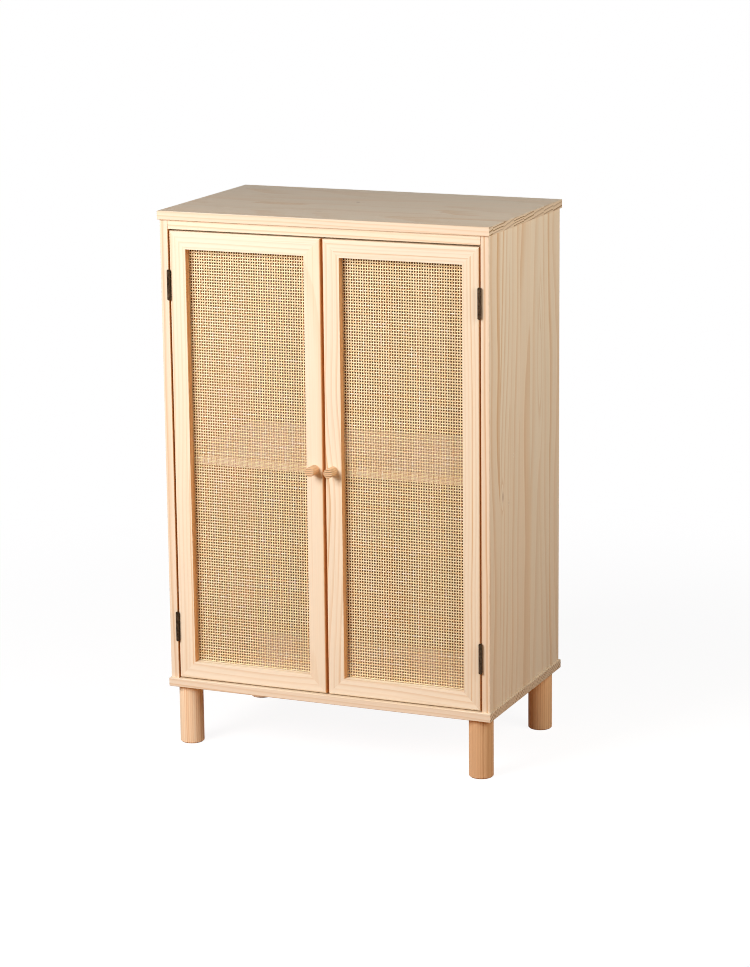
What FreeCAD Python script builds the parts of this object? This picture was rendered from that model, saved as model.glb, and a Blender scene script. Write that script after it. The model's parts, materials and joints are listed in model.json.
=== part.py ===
"""Pine storage cabinet: two mitred doors with cane webbing, on butt hinges, standing on four round legs.

Frame: millimetres, +Z up, the front faces -Y. The origin is on the floor, at the centre of the
cabinet's bounding box, which runs from the knobs' ends to the back edge of the top panel.
"""
import FreeCAD, Part
import os
import re

import Sketcher
from FreeCAD import Placement, Rotation, Vector

SIZES = {
    # carcass
    "cabinet_width": 600.0,
    "cabinet_height": 940.0,
    "side_depth": 340.0,
    "board_thickness": 15.0,
    "overhang_side": 2.5,
    "overhang_front": 5.0,
    "overhang_back": 5.0,
    "board_ease": 0.8,
    "rail_height": 16.0,
    "rail_depth": 18.0,
    "shelf_setback": 24.0,
    "shelf_drop": 14.0,
    "shelf_play": 0.5,
    "back_thickness": 4.0,
    "back_inset": 8.0,
    "groove_depth": 6.0,
    "groove_play": 0.3,
    # legs
    "leg_length": 105.0,
    "leg_diameter": 42.0,
    "leg_inset_side": 28.0,
    "leg_inset_front": 30.0,
    "foot_ease": 2.0,
    "hanger_diameter": 8.0,
    "hanger_in_leg": 40.0,
    "hanger_in_panel": 11.0,
    "insert_diameter": 12.0,
    "insert_length": 12.0,
    # carcass joints
    "hole_play": 0.1,
    "hole_spare": 0.8,
    "dowel_diameter": 8.0,
    "dowel_length": 30.0,
    "dowel_in_face": 10.0,
    "dowel_setback": 28.0,
    "small_dowel_diameter": 6.0,
    "small_dowel_length": 22.0,
    "small_dowel_in_face": 9.0,
    "cam_diameter": 15.0,
    "cam_thickness": 12.0,
    "cam_distance": 24.0,
    "cam_setback": 70.0,
    "cam_bolt_diameter": 5.0,
    "cam_bolt_in_face": 10.0,
    "cam_bolt_head": 6.6,
    "cam_slot_length": 10.0,
    "cam_slot_width": 1.4,
    "cam_slot_depth": 2.5,
    # doors
    "door_thickness": 18.0,
    "member_width": 30.0,
    "door_gap_side": 2.0,
    "door_gap_middle": 4.0,
    "door_gap_bottom": 2.0,
    "door_gap_top": 3.0,
    "door_arris": 3.0,
    "rebate_width": 8.0,
    "rebate_depth": 4.0,
    "webbing_thickness": 1.6,
    "webbing_play": 0.2,
    "knob_diameter": 16.0,
    "knob_length": 24.0,
    "knob_ease": 0.6,
    "knob_screw_diameter": 4.0,
    "knob_screw_bite": 15.0,
    "knob_screw_head_diameter": 8.0,
    "knob_screw_head_height": 2.4,
    # butt hinges
    "hinge_inset": 92.0,
    "hinge_length": 50.0,
    "barrel_diameter": 6.0,
    "barrel_proud": 0.2,
    "pin_diameter": 3.2,
    "pin_play": 0.05,
    "pin_head_diameter": 4.8,
    "pin_head_height": 1.3,
    "pin_head_crown": 2.9,
    "knuckle_play": 0.2,
    "knuckle_relief": 0.3,
    "leaf_thickness": 1.4,
    "leaf_reach": 18.0,
    "leaf_screw_reach": 11.0,
    "leaf_screw_spacing": 28.0,
    "mortise_play": 0.1,
    # small countersunk screws
    "screw_diameter": 3.0,
    "screw_length": 12.0,
    "screw_head_diameter": 5.6,
    # magnetic catch
    "catch_width": 42.0,
    "catch_depth": 22.0,
    "catch_height": 14.0,
    "catch_front_gap": 0.8,
    "catch_ear_width": 9.0,
    "catch_ear_thickness": 3.0,
    "catch_ease": 1.0,
    "magnet_offset": 13.0,
    "magnet_width": 14.0,
    "magnet_depth": 16.0,
    "magnet_thickness": 5.0,
    "pole_thickness": 1.2,
    "pole_gap": 0.3,
    "magnet_play": 0.1,
    "strike_width": 17.0,
    "strike_height": 18.0,
    "strike_thickness": 1.5,
}

KNUCKLES = 5
FRAME_KNUCKLES = (0, 2, 4)
DOOR_KNUCKLES = (1, 3)

# An edge lies in a plane where its middle is less than this far from it.
NEAR = 1.0

# A cut starts and ends this far outside the piece, so that no face of it lies in the piece's own.
OVERCUT = "1"

# Places worked out from the sizes. y is measured from the front plane, which the door faces, the
# rail and the front edges of the sides share.
FRONT = "(knob_length - side_depth - overhang_back) / 2"
SIDE_INNER = "(cabinet_width / 2 - overhang_side - board_thickness)"
BOTTOM_FACE = "(leg_length + board_thickness)"
TOP_FACE = "(cabinet_height - board_thickness)"
SIDE_HEIGHT = f"({TOP_FACE} - {BOTTOM_FACE})"
BACK_FACE = "(side_depth - back_inset - back_thickness)"

DOOR_LOW = f"({BOTTOM_FACE} + door_gap_bottom)"
DOOR_HIGH = f"({TOP_FACE} - rail_height - door_gap_top)"
DOOR_HEIGHT = f"({DOOR_HIGH} - {DOOR_LOW})"
DOOR_MIDDLE = f"(({DOOR_HIGH} + {DOOR_LOW}) / 2)"
DOOR_OUTER = f"({SIDE_INNER} - door_gap_side)"
DOOR_INNER = "(door_gap_middle / 2)"
DOOR_WIDTH = f"({DOOR_OUTER} - {DOOR_INNER})"
DOOR_CENTRE = f"(({DOOR_OUTER} + {DOOR_INNER}) / 2)"
REBATE_BACK = "(door_thickness - rebate_depth)"
WEBBING_MARGIN = "(member_width - rebate_width + webbing_play)"
WEBBING_HALF_WIDTH = f"({DOOR_WIDTH} / 2 - {WEBBING_MARGIN})"
WEBBING_HALF_HEIGHT = f"({DOOR_HEIGHT} / 2 - {WEBBING_MARGIN})"

HINGE_X = f"({SIDE_INNER} - door_gap_side / 2)"
BARREL_FRONT = "(barrel_diameter / 2 + barrel_proud)"
HINGE_RISE = f"({DOOR_HEIGHT} / 2 - hinge_inset)"

SHELF_UNDER = f"({DOOR_MIDDLE} - shelf_drop)"
CATCH_FRONT = "(door_thickness + strike_thickness + pole_gap + catch_front_gap)"
MAGNET_STACK = "(magnet_thickness + 2 * pole_thickness)"
MAGNET_LEVEL = f"({SHELF_UNDER} - catch_height / 2)"
PILOT_RADIUS = "(screw_diameter / 2 + hole_play)"

X_AXIS = Vector(1, 0, 0)
Y_AXIS = Vector(0, 1, 0)
Z_AXIS = Vector(0, 0, 1)

UP = Rotation()
DOWN = Rotation(Vector(1, 0, 0), 180)
TO_RIGHT = Rotation(Vector(0, 1, 0), 90)
TO_LEFT = Rotation(Vector(0, 1, 0), -90)
TO_BACK = Rotation(Vector(1, 0, 0), -90)
TO_FRONT = Rotation(Vector(1, 0, 0), 90)
TURNED_OVER = Rotation(Vector(0, 1, 0), 180)

doc = FreeCAD.newDocument("cane_cabinet")
nodes = []


# ---------------------------------------------------------------- the sheet and small helpers

def make_sheet():
    """Put every driving size into the spreadsheet, one row each, with its name as the alias."""
    sheet = doc.addObject("Spreadsheet::Sheet", "Sizes")
    for row, (name, value) in enumerate(SIZES.items(), 1):
        sheet.set(f"A{row}", name)
        sheet.set(f"B{row}", str(value))
        sheet.setAlias(f"B{row}", name)
    doc.recompute()


def bind(item, prop, formula):
    """Tie a property to a formula of the sheet's sizes."""
    text = re.sub(r"[a-z_]+", lambda word: "Sizes." + word[0] if word[0] in SIZES else word[0], str(formula))
    item.setExpression(prop, text)


def place(item, spot, rotation=UP):
    """Turn an object and tie its position to three formulas."""
    item.Placement = Placement(Vector(), rotation)
    for axis, formula in zip("xyz", spot):
        bind(item, f"Placement.Base.{axis}", formula)


def from_front(distance):
    """A y coordinate, given as a distance behind the front plane."""
    return f"{FRONT} + {distance}"


def new_body(name):
    return doc.addObject("PartDesign::Body", name)


def keep(item, label):
    """Register an object as a sub-part of the cabinet, under its own label."""
    item.Label = label
    nodes.append(item)
    return item


def new_sketch(body, role, name):
    """A sketch on one of the body's own origin planes."""
    sketch = body.newObject("Sketcher::SketchObject", name)
    plane = next(item for item in body.Origin.OriginFeatures if item.Role == role)
    sketch.AttachmentSupport = [(plane, "")]
    sketch.MapMode = "FlatFace"
    return sketch


def dimension(sketch, kind, targets, name, formula):
    """Add a named dimension, tied to a formula."""
    index = sketch.addConstraint(Sketcher.Constraint(kind, *targets, 1.0))
    sketch.renameConstraint(index, name)
    bind(sketch, f"Constraints.{name}", formula)


def polygon(sketch, corners, name="corner"):
    """A closed outline of straight lines whose corners are formulas (horizontal, vertical)."""
    first = sketch.GeometryCount
    count = len(corners)
    angle = 360.0 / count
    guess = [Rotation(Vector(0, 0, 1), angle * i).multVec(Vector(1, 0, 0)) for i in range(count)]
    for i in range(count):
        sketch.addGeometry(Part.LineSegment(guess[i], guess[(i + 1) % count]), False)
    for i in range(count):
        sketch.addConstraint(Sketcher.Constraint("Coincident", first + i, 2, first + (i + 1) % count, 1))
    for i, (across, along) in enumerate(corners):
        dimension(sketch, "DistanceX", (-1, 1, first + i, 1), f"{name}_{i}_x", across)
        dimension(sketch, "DistanceY", (-1, 1, first + i, 1), f"{name}_{i}_y", along)


def rectangle(sketch, low, high, name="corner"):
    """A rectangle between two opposite corners."""
    (x0, y0), (x1, y1) = low, high
    polygon(sketch, [(x0, y0), (x1, y0), (x1, y1), (x0, y1)], name)


def circle(sketch, radius, name="radius"):
    """A circle about the sketch's origin."""
    index = sketch.addGeometry(Part.Circle(Vector(), Vector(0, 0, 1), 1), False)
    sketch.addConstraint(Sketcher.Constraint("Coincident", index, 3, -1, 1))
    dimension(sketch, "Radius", (index,), name, radius)


def pad(body, sketch, length, side="One side", reverse=False):
    feature = body.newObject("PartDesign::Pad", f"{sketch.Name}_pad")
    feature.Profile = sketch
    feature.SideType = side
    feature.Reversed = reverse
    bind(feature, "Length", length)
    return feature


def pocket(body, sketch, depth=None, side="One side", reverse=False):
    """Cut a sketch out of the body: to a depth, or all the way through where none is given."""
    feature = body.newObject("PartDesign::Pocket", f"{sketch.Name}_cut")
    feature.Profile = sketch
    feature.SideType = side
    feature.Reversed = reverse
    if depth is None:
        feature.Type = "ThroughAll"
    else:
        bind(feature, "Length", depth)


def revolve(body, sketch):
    """Turn a half outline about the body's Z axis, which is the sketch's vertical axis."""
    feature = body.newObject("PartDesign::Revolution", f"{sketch.Name}_turn")
    feature.Profile = sketch
    feature.ReferenceAxis = (sketch, ["V_Axis"])
    feature.Angle = 360.0


def drill(body, name, radius, depth, mouth, rotation):
    """A round hole from its mouth along the rotated Z axis."""
    hole = body.newObject("PartDesign::SubtractiveCylinder", name)
    bind(hole, "Radius", radius)
    bind(hole, "Height", depth)
    place(hole, mouth, rotation)


def countersink(body, name, mouth, rotation):
    """The conical seat of a small screw's head."""
    cone = body.newObject("PartDesign::SubtractiveCone", name)
    bind(cone, "Radius1", "screw_head_diameter / 2 + hole_play")
    bind(cone, "Radius2", PILOT_RADIUS)
    bind(cone, "Height", "(screw_head_diameter - screw_diameter) / 2")
    place(cone, mouth, rotation)


def cut_box(body, name, low, high):
    """Take a box between two corners out of the body."""
    box = body.newObject("PartDesign::SubtractiveBox", name)
    for prop, start, end in zip(("Length", "Width", "Height"), low, high):
        bind(box, prop, f"({end}) - ({start})")
    place(box, low)


def runs_along(direction, axis):
    """Whether an edge's direction is nearer to the axis than to square across it."""
    return abs(direction.dot(axis)) > direction.cross(axis).Length


def ease_edges(body, feature, size, chosen=None, kind="Chamfer"):
    """Bevel the feature's edges, or only those whose direction and middle the test accepts.

    Where kind is Fillet, they are rounded.
    """
    doc.recompute()
    names = []
    for number, edge in enumerate(feature.Shape.Edges, 1):
        direction = edge.tangentAt(edge.FirstParameter)
        if chosen is None or chosen(direction, edge.CenterOfMass):
            names.append(f"Edge{number}")
    eased = body.newObject(f"PartDesign::{kind}", f"{feature.Name}_ease")
    eased.Base = (feature, names)
    bind(eased, "Radius" if kind == "Fillet" else "Size", size)


def copies(label, master, spots):
    """A group of separate, identical solids: one link to the master for each (spot, rotation)."""
    links = []
    for number, (spot, rotation) in enumerate(spots, 1):
        link = doc.addObject("App::Link", f"{label}_{number}")
        link.LinkedObject = master
        place(link, spot, rotation)
        links.append(link)
    group = doc.addObject("Part::Compound", label)
    group.Links = links
    keep(group, label)


def mirrored(spots):
    """The spots given for the right half, and the same ones on the left."""
    both = []
    for (x, y, z), right, left in spots:
        both.append(((x, y, z), right))
        both.append(((f"-({x})", y, z), left))
    return both


# ---------------------------------------------------------------- fasteners

def make_dowel(name, diameter, length):
    """A wooden dowel, centred on its middle."""
    body = new_body(name)
    sketch = new_sketch(body, "XY_Plane", f"{name}_section")
    circle(sketch, f"{diameter} / 2")
    pad(body, sketch, length, side="Symmetric")
    return body


def make_small_screw():
    """A countersunk wood screw. Its origin is the middle of the head's face, and it points along +Z."""
    body = new_body("small_screw")
    sketch = new_sketch(body, "XZ_Plane", "small_screw_half")
    shank, head = "screw_diameter / 2", "screw_head_diameter / 2"
    neck = f"{head} - {shank}"
    polygon(sketch, [("0", "0"), (head, "0"), (shank, neck), (shank, "screw_length"), ("0", "screw_length")])
    revolve(body, sketch)
    return body


def make_knob_screw():
    """A pan-head screw through a door into its knob. The head's seat is at the origin, +Z leads in."""
    body = new_body("knob_screw")
    sketch = new_sketch(body, "XZ_Plane", "knob_screw_half")
    shank, head = "knob_screw_diameter / 2", "knob_screw_head_diameter / 2"
    end = "door_thickness + knob_screw_bite"
    polygon(sketch, [("0", "-knob_screw_head_height"), (head, "-knob_screw_head_height"), (head, "0"),
                     (shank, "0"), (shank, end), ("0", end)])
    revolve(body, sketch)
    return body


def make_hanger_bolt():
    """A headless bolt: wood thread down into the leg, machine thread up into the panel's insert."""
    body = new_body("hanger_bolt")
    sketch = new_sketch(body, "XZ_Plane", "hanger_bolt_half")
    rectangle(sketch, ("0", "-hanger_in_leg"), ("hanger_diameter / 2", "hanger_in_panel"))
    revolve(body, sketch)
    return body


def make_insert():
    """The threaded sleeve that a hanger bolt screws into, flush with the panel's underside."""
    body = new_body("threaded_insert")
    sketch = new_sketch(body, "XZ_Plane", "threaded_insert_half")
    rectangle(sketch, ("hanger_diameter / 2 + hole_play", "0"), ("insert_diameter / 2", "insert_length"))
    revolve(body, sketch)
    return body


def make_cam_bolt():
    """A cam bolt. The joint plane is at the origin: thread along +Z, shank and head along -Z."""
    body = new_body("cam_bolt")
    sketch = new_sketch(body, "XZ_Plane", "cam_bolt_half")
    shank, head = "cam_bolt_diameter / 2", "cam_bolt_head / 2"
    end = f"-(cam_distance + {head})"
    polygon(sketch, [("0", end), (head, end), (head, f"-(cam_distance - {head})"),
                     (shank, f"-(cam_distance - {head})"), (shank, "cam_bolt_in_face"),
                     ("0", "cam_bolt_in_face")])
    revolve(body, sketch)
    return body


def make_cam_lock():
    """A cam lock disc. Its face is at the origin and it sinks along +Z. The bolt enters along X."""
    body = new_body("cam_lock")
    sketch = new_sketch(body, "XY_Plane", "cam_lock_disc")
    circle(sketch, "cam_diameter / 2")
    pad(body, sketch, "cam_thickness")
    reach, half, middle = "cam_diameter / 2", "(cam_bolt_head / 2 + hole_play)", "board_thickness / 2"
    cut_box(body, "bolt_way", (f"-{reach} - {OVERCUT}", f"-{half}", f"{middle} - {half}"),
            (f"{reach} + {OVERCUT}", half, f"{middle} + {half}"))
    long, wide = "cam_slot_length / 2", "cam_slot_width / 2"
    cut_box(body, "driver_slot", (f"-{wide}", f"-{long}", f"-{OVERCUT}"), (wide, long, "cam_slot_depth"))
    cut_box(body, "driver_cross", (f"-{long}", f"-{wide}", f"-{OVERCUT}"), (long, wide, "cam_slot_depth"))
    return body


# ---------------------------------------------------------------- carcass

def dowel_ys():
    """The dowels' distances behind the front plane."""
    return "dowel_setback", "(side_depth - dowel_setback - back_inset)"


def cam_ys():
    """The cam bolts' distances behind the front plane."""
    return "cam_setback", "(side_depth - cam_setback - back_inset)"


def leg_spots():
    """The legs' centres by name, as (x, distance behind the front plane)."""
    x = "(cabinet_width / 2 - leg_inset_side)"
    front = "(leg_inset_front - overhang_front)"
    back = "(side_depth + overhang_back - leg_inset_front)"
    return {"front_left": (f"-{x}", front), "front_right": (x, front),
            "back_left": (f"-{x}", back), "back_right": (x, back)}


def make_end_panel(label, level, inner, into_panel):
    """The top or bottom panel. inner is the height of its inner face above its lower face."""
    body = keep(new_body(label), label)
    outline = new_sketch(body, "XY_Plane", f"{label}_outline")
    rectangle(outline, ("-cabinet_width / 2", "-overhang_front"),
              ("cabinet_width / 2", "side_depth + overhang_back"))
    board = pad(body, outline, "board_thickness")
    ease_edges(body, board, "board_ease")

    if into_panel is UP:
        low, high = f"-{OVERCUT}", "groove_depth"
    else:
        low, high = "board_thickness - groove_depth", f"board_thickness + {OVERCUT}"
    reach = f"({SIDE_INNER} + groove_depth)"
    cut_box(body, f"{label}_groove", (f"-{reach}", f"{BACK_FACE} - groove_play / 2", low),
            (reach, f"{BACK_FACE} + back_thickness + groove_play / 2", high))

    x = f"({SIDE_INNER} + board_thickness / 2)"
    for side in ("", "-"):
        for number, y in enumerate(dowel_ys()):
            drill(body, f"{label}_dowel_hole_{number}", "dowel_diameter / 2 + hole_play",
                  "dowel_in_face + hole_spare", (side + x, y, inner), into_panel)
        for number, y in enumerate(cam_ys()):
            drill(body, f"{label}_bolt_hole_{number}", "cam_bolt_diameter / 2 + hole_play",
                  "cam_bolt_in_face + hole_spare", (side + x, y, inner), into_panel)
    place(body, ("0", FRONT, level))
    return body


def make_bottom_panel():
    body = make_end_panel("bottom_panel", "leg_length", "board_thickness", DOWN)
    for name, (x, y) in leg_spots().items():
        drill(body, f"{name}_insert_hole", "insert_diameter / 2 + hole_play",
              "insert_length + hole_spare", (x, y, "0"), UP)


def make_side_panel(label, hand):
    """A side panel. Its inner face is at x = 0, and it reaches outwards, to +X where hand is 1."""
    body = keep(new_body(label), label)
    outwards = TO_RIGHT if hand > 0 else TO_LEFT
    outline = new_sketch(body, "YZ_Plane", f"{label}_outline")
    rectangle(outline, ("0", "0"), ("side_depth", SIDE_HEIGHT))
    board = pad(body, outline, "board_thickness", reverse=hand < 0)
    ease_edges(body, board, "board_ease", lambda direction, middle: runs_along(direction, Z_AXIS))

    def cut_inner_face(name, depth, low, high):
        """Take a rectangle of (y, z) out of the inner face."""
        sketch = new_sketch(body, "YZ_Plane", name)
        rectangle(sketch, low, high)
        pocket(body, sketch, depth, reverse=hand > 0)

    cut_inner_face(f"{label}_groove", "groove_depth", (f"{BACK_FACE} - groove_play / 2", f"-{OVERCUT}"),
                   (f"{BACK_FACE} + back_thickness + groove_play / 2", f"{SIDE_HEIGHT} + {OVERCUT}"))

    middle = f"({DOOR_MIDDLE} - {BOTTOM_FACE})"
    half = "(hinge_length / 2 + mortise_play)"
    for name, sign in (("upper", "+"), ("lower", "-")):
        centre = f"({middle} {sign} {HINGE_RISE})"
        cut_inner_face(f"{label}_{name}_mortise", "leaf_thickness + mortise_play",
                       ("-board_ease", f"{centre} - {half}"),
                       (f"leaf_reach - {BARREL_FRONT} + mortise_play", f"{centre} + {half}"))
        for number, shift in enumerate(("+", "-")):
            drill(body, f"{label}_{name}_pilot_{number}", PILOT_RADIUS, "screw_length + hole_spare",
                  ("0", f"leaf_screw_reach - {BARREL_FRONT}", f"{centre} {shift} leaf_screw_spacing / 2"),
                  outwards)

    x = f"{hand} * board_thickness / 2"
    for end, into, away in (("0", UP, "+"), (SIDE_HEIGHT, DOWN, "-")):
        for number, y in enumerate(dowel_ys()):
            drill(body, f"{label}_dowel_hole_{number}", "dowel_diameter / 2 + hole_play",
                  "dowel_length - dowel_in_face + hole_spare", (x, y, end), into)
        for number, y in enumerate(cam_ys()):
            drill(body, f"{label}_bolt_hole_{number}", "cam_bolt_head / 2 + hole_play",
                  "cam_distance + cam_bolt_head / 2 + hole_spare", (x, y, end), into)
            drill(body, f"{label}_cam_hole_{number}", "cam_diameter / 2 + hole_play",
                  "cam_thickness + hole_play", ("0", y, f"{end} {away} cam_distance"), outwards)

    small = "small_dowel_diameter / 2 + hole_play"
    depth = "small_dowel_in_face + hole_spare"
    drill(body, f"{label}_rail_dowel_hole", small, depth,
          ("0", "rail_depth / 2", f"{SIDE_HEIGHT} - rail_height / 2"), outwards)
    for number, y in enumerate(shelf_dowel_ys()):
        drill(body, f"{label}_shelf_dowel_hole_{number}", small, depth,
              ("0", y, f"{SHELF_UNDER} + board_thickness / 2 - {BOTTOM_FACE}"), outwards)
    place(body, (f"{hand} * {SIDE_INNER}", FRONT, BOTTOM_FACE))


def make_top_rail():
    """The thin rail under the top panel's front edge, held by a dowel at each end."""
    body = keep(new_body("top_rail"), "top_rail")
    outline = new_sketch(body, "XY_Plane", "top_rail_outline")
    rectangle(outline, (f"-{SIDE_INNER}", "0"), (SIDE_INNER, "rail_depth"))
    board = pad(body, outline, "rail_height")
    ease_edges(body, board, "board_ease",
               lambda direction, middle: runs_along(direction, X_AXIS) and middle.z < NEAR)
    for name, x, inwards in (("left", f"-{SIDE_INNER}", TO_RIGHT), ("right", SIDE_INNER, TO_LEFT)):
        drill(body, f"top_rail_{name}_hole", "small_dowel_diameter / 2 + hole_play",
              "small_dowel_length - small_dowel_in_face + hole_spare",
              (x, "rail_depth / 2", "rail_height / 2"), inwards)
    place(body, ("0", FRONT, f"{TOP_FACE} - rail_height"))


def make_back_panel():
    body = keep(new_body("back_panel"), "back_panel")
    outline = new_sketch(body, "XZ_Plane", "back_panel_outline")
    tongue = "(groove_depth - groove_play)"
    rectangle(outline, (f"-{SIDE_INNER} - {tongue}", f"-{tongue}"),
              (f"{SIDE_INNER} + {tongue}", f"{SIDE_HEIGHT} + {tongue}"))
    pad(body, outline, "back_thickness", reverse=True)
    place(body, ("0", from_front(BACK_FACE), BOTTOM_FACE))


def shelf_dowel_ys():
    """The shelf dowels' distances behind the front plane."""
    return "(shelf_setback + dowel_setback)", f"({BACK_FACE} - dowel_setback)"


def make_shelf():
    body = keep(new_body("shelf"), "shelf")
    outline = new_sketch(body, "XY_Plane", "shelf_outline")
    rectangle(outline, (f"-{SIDE_INNER}", "shelf_setback"), (SIDE_INNER, f"{BACK_FACE} - shelf_play"))
    board = pad(body, outline, "board_thickness")
    front_edge = SIZES["shelf_setback"] + NEAR
    ease_edges(body, board, "board_ease",
               lambda direction, middle: runs_along(direction, X_AXIS) and middle.y < front_edge)
    for name, x, inwards in (("left", f"-{SIDE_INNER}", TO_RIGHT), ("right", SIDE_INNER, TO_LEFT)):
        for number, y in enumerate(shelf_dowel_ys()):
            drill(body, f"shelf_{name}_hole_{number}", "small_dowel_diameter / 2 + hole_play",
                  "small_dowel_length - small_dowel_in_face + hole_spare",
                  (x, y, "board_thickness / 2"), inwards)
    for number, x in enumerate(catch_screw_xs()):
        drill(body, f"shelf_catch_pilot_{number}", PILOT_RADIUS,
              "screw_length - catch_ear_thickness + hole_spare",
              (x, f"{CATCH_FRONT} + catch_depth / 2", "0"), UP)
    place(body, ("0", FRONT, SHELF_UNDER))


def make_carcass_fasteners():
    dowel = make_dowel("dowel", "dowel_diameter", "dowel_length")
    small_dowel = make_dowel("small_dowel", "small_dowel_diameter", "small_dowel_length")
    x = f"({SIDE_INNER} + board_thickness / 2)"
    shift = "(dowel_length / 2 - dowel_in_face)"
    levels = f"{BOTTOM_FACE} + {shift}", f"{TOP_FACE} - {shift}"
    copies("panel_dowels", dowel,
           mirrored([((x, from_front(y), z), UP, UP) for z in levels for y in dowel_ys()]))

    inner = f"({SIDE_INNER} + small_dowel_in_face - small_dowel_length / 2)"
    copies("rail_dowels", small_dowel,
           mirrored([((inner, from_front("rail_depth / 2"), f"{TOP_FACE} - rail_height / 2"),
                      TO_RIGHT, TO_LEFT)]))
    copies("shelf_dowels", small_dowel,
           mirrored([((inner, from_front(y), f"{SHELF_UNDER} + board_thickness / 2"), TO_RIGHT, TO_LEFT)
                     for y in shelf_dowel_ys()]))

    joints = ((BOTTOM_FACE, DOWN, "+"), (TOP_FACE, UP, "-"))
    copies("cam_bolts", make_cam_bolt(),
           mirrored([((x, from_front(y), level), into, into) for level, into, _ in joints for y in cam_ys()]))
    copies("cam_locks", make_cam_lock(),
           mirrored([((SIDE_INNER, from_front(y), f"{level} {away} cam_distance"), TO_RIGHT, TO_LEFT)
                     for level, _, away in joints for y in cam_ys()]))
    return small_dowel


# ---------------------------------------------------------------- legs

def make_leg(label, x, y):
    """A round leg with a bevelled foot, bored from above for its hanger bolt."""
    body = keep(new_body(label), label)
    sketch = new_sketch(body, "XY_Plane", f"{label}_section")
    circle(sketch, "leg_diameter / 2")
    dowel = pad(body, sketch, "leg_length")
    ease_edges(body, dowel, "foot_ease",
               lambda direction, middle: not runs_along(direction, Z_AXIS) and middle.z < NEAR)
    drill(body, f"{label}_bore", "hanger_diameter / 2 + hole_play", "hanger_in_leg + hole_spare",
          ("0", "0", "leg_length"), DOWN)
    place(body, (x, from_front(y), "0"))


def make_legs():
    spots = leg_spots()
    for name, (x, y) in spots.items():
        make_leg(f"{name}_leg", x, y)
    seats = [((x, from_front(y), "leg_length"), UP) for x, y in spots.values()]
    copies("leg_hanger_bolts", make_hanger_bolt(), seats)
    copies("leg_threaded_inserts", make_insert(), seats)


# ---------------------------------------------------------------- doors

def make_member(label, length):
    """One mitred member of a door frame, still without its holes.

    It lies along X, its outer edge at z = 0 and its face at y = 0. The moulding has a rounded
    front arris, and a rebate behind the inner edge for the webbing and its bead.
    """
    body = keep(new_body(label), label)
    section = new_sketch(body, "YZ_Plane", f"{label}_moulding")
    polygon(section, [("0", "0"), ("door_thickness", "0"), ("door_thickness", "member_width - rebate_width"),
                      (REBATE_BACK, "member_width - rebate_width"), (REBATE_BACK, "member_width"),
                      ("0", "member_width")])
    moulding = pad(body, section, length, side="Symmetric")
    ease_edges(body, moulding, "door_arris",
               lambda direction, middle: runs_along(direction, X_AXIS) and max(middle.y, middle.z) < NEAR,
               kind="Fillet")

    mitres = new_sketch(body, "XZ_Plane", f"{label}_mitres")
    end = f"({length}) / 2"
    polygon(mitres, [(end, "0"), (end, "member_width"), (f"{end} - member_width", "member_width")], "right")
    polygon(mitres, [(f"-{end}", "0"), (f"-{end}", "member_width"),
                     (f"-{end} + member_width", "member_width")], "left")
    pocket(body, mitres, side="Symmetric")

    for name, sign, inwards in (("left", "-", 1), ("right", "", -1)):
        middle = f"{sign}({end} - member_width / 2)"
        into = Rotation(Vector(0, 0, 1), Vector(inwards, 0, -1))
        drill(body, f"{label}_{name}_mitre_hole", "small_dowel_diameter / 2 + hole_play",
              "small_dowel_length / 2 + hole_spare", (middle, "door_thickness / 2", "member_width / 2"), into)
    return body


def make_hinge_stile(label, hand):
    """The stile that carries the door leaves, let in flush with its outer edge."""
    body = make_member(label, DOOR_HEIGHT)
    half = "(hinge_length / 2 + mortise_play)"
    for name, sign in (("a", ""), ("b", "-")):
        centre = f"({sign}{HINGE_RISE})"
        cut_box(body, f"{label}_mortise_{name}", (f"{centre} - {half}", f"-{OVERCUT}", f"-{OVERCUT}"),
                (f"{centre} + {half}", f"leaf_reach - {BARREL_FRONT} + mortise_play",
                 "leaf_thickness + mortise_play"))
        for number, shift in enumerate(("+", "-")):
            drill(body, f"{label}_pilot_{name}{number}", PILOT_RADIUS, "screw_length + hole_spare",
                  (f"{centre} {shift} leaf_screw_spacing / 2", f"leaf_screw_reach - {BARREL_FRONT}", "0"), UP)
    place(body, (f"{hand} * {DOOR_OUTER}", FRONT, DOOR_MIDDLE), TO_LEFT if hand > 0 else TO_RIGHT)


def make_meeting_stile(label, hand):
    """The stile with the knob. Its own x runs up on the left door and down on the right one."""
    body = make_member(label, DOOR_HEIGHT)
    drill(body, f"{label}_knob_hole", "knob_screw_diameter / 2 + hole_play",
          f"door_thickness + 2 * {OVERCUT}", ("0", f"-{OVERCUT}", "member_width / 2"), TO_BACK)
    rise = f"{hand} * ({DOOR_MIDDLE} - {MAGNET_LEVEL})"
    drill(body, f"{label}_strike_pilot", PILOT_RADIUS, "screw_length - strike_thickness + hole_spare",
          (rise, "door_thickness", f"magnet_offset - {DOOR_INNER}"), TO_FRONT)
    place(body, (f"{hand} * {DOOR_INNER}", FRONT, DOOR_MIDDLE), TO_RIGHT if hand > 0 else TO_LEFT)


def make_webbing(label, hand):
    """The cane webbing, as a plain sheet in the rebate."""
    body = keep(new_body(label), label)
    outline = new_sketch(body, "XZ_Plane", f"{label}_outline")
    rectangle(outline, (f"-{WEBBING_HALF_WIDTH}", f"-{WEBBING_HALF_HEIGHT}"),
              (WEBBING_HALF_WIDTH, WEBBING_HALF_HEIGHT))
    pad(body, outline, "webbing_thickness", reverse=True)
    place(body, (f"{hand} * {DOOR_CENTRE}", from_front(REBATE_BACK), DOOR_MIDDLE))


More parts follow.
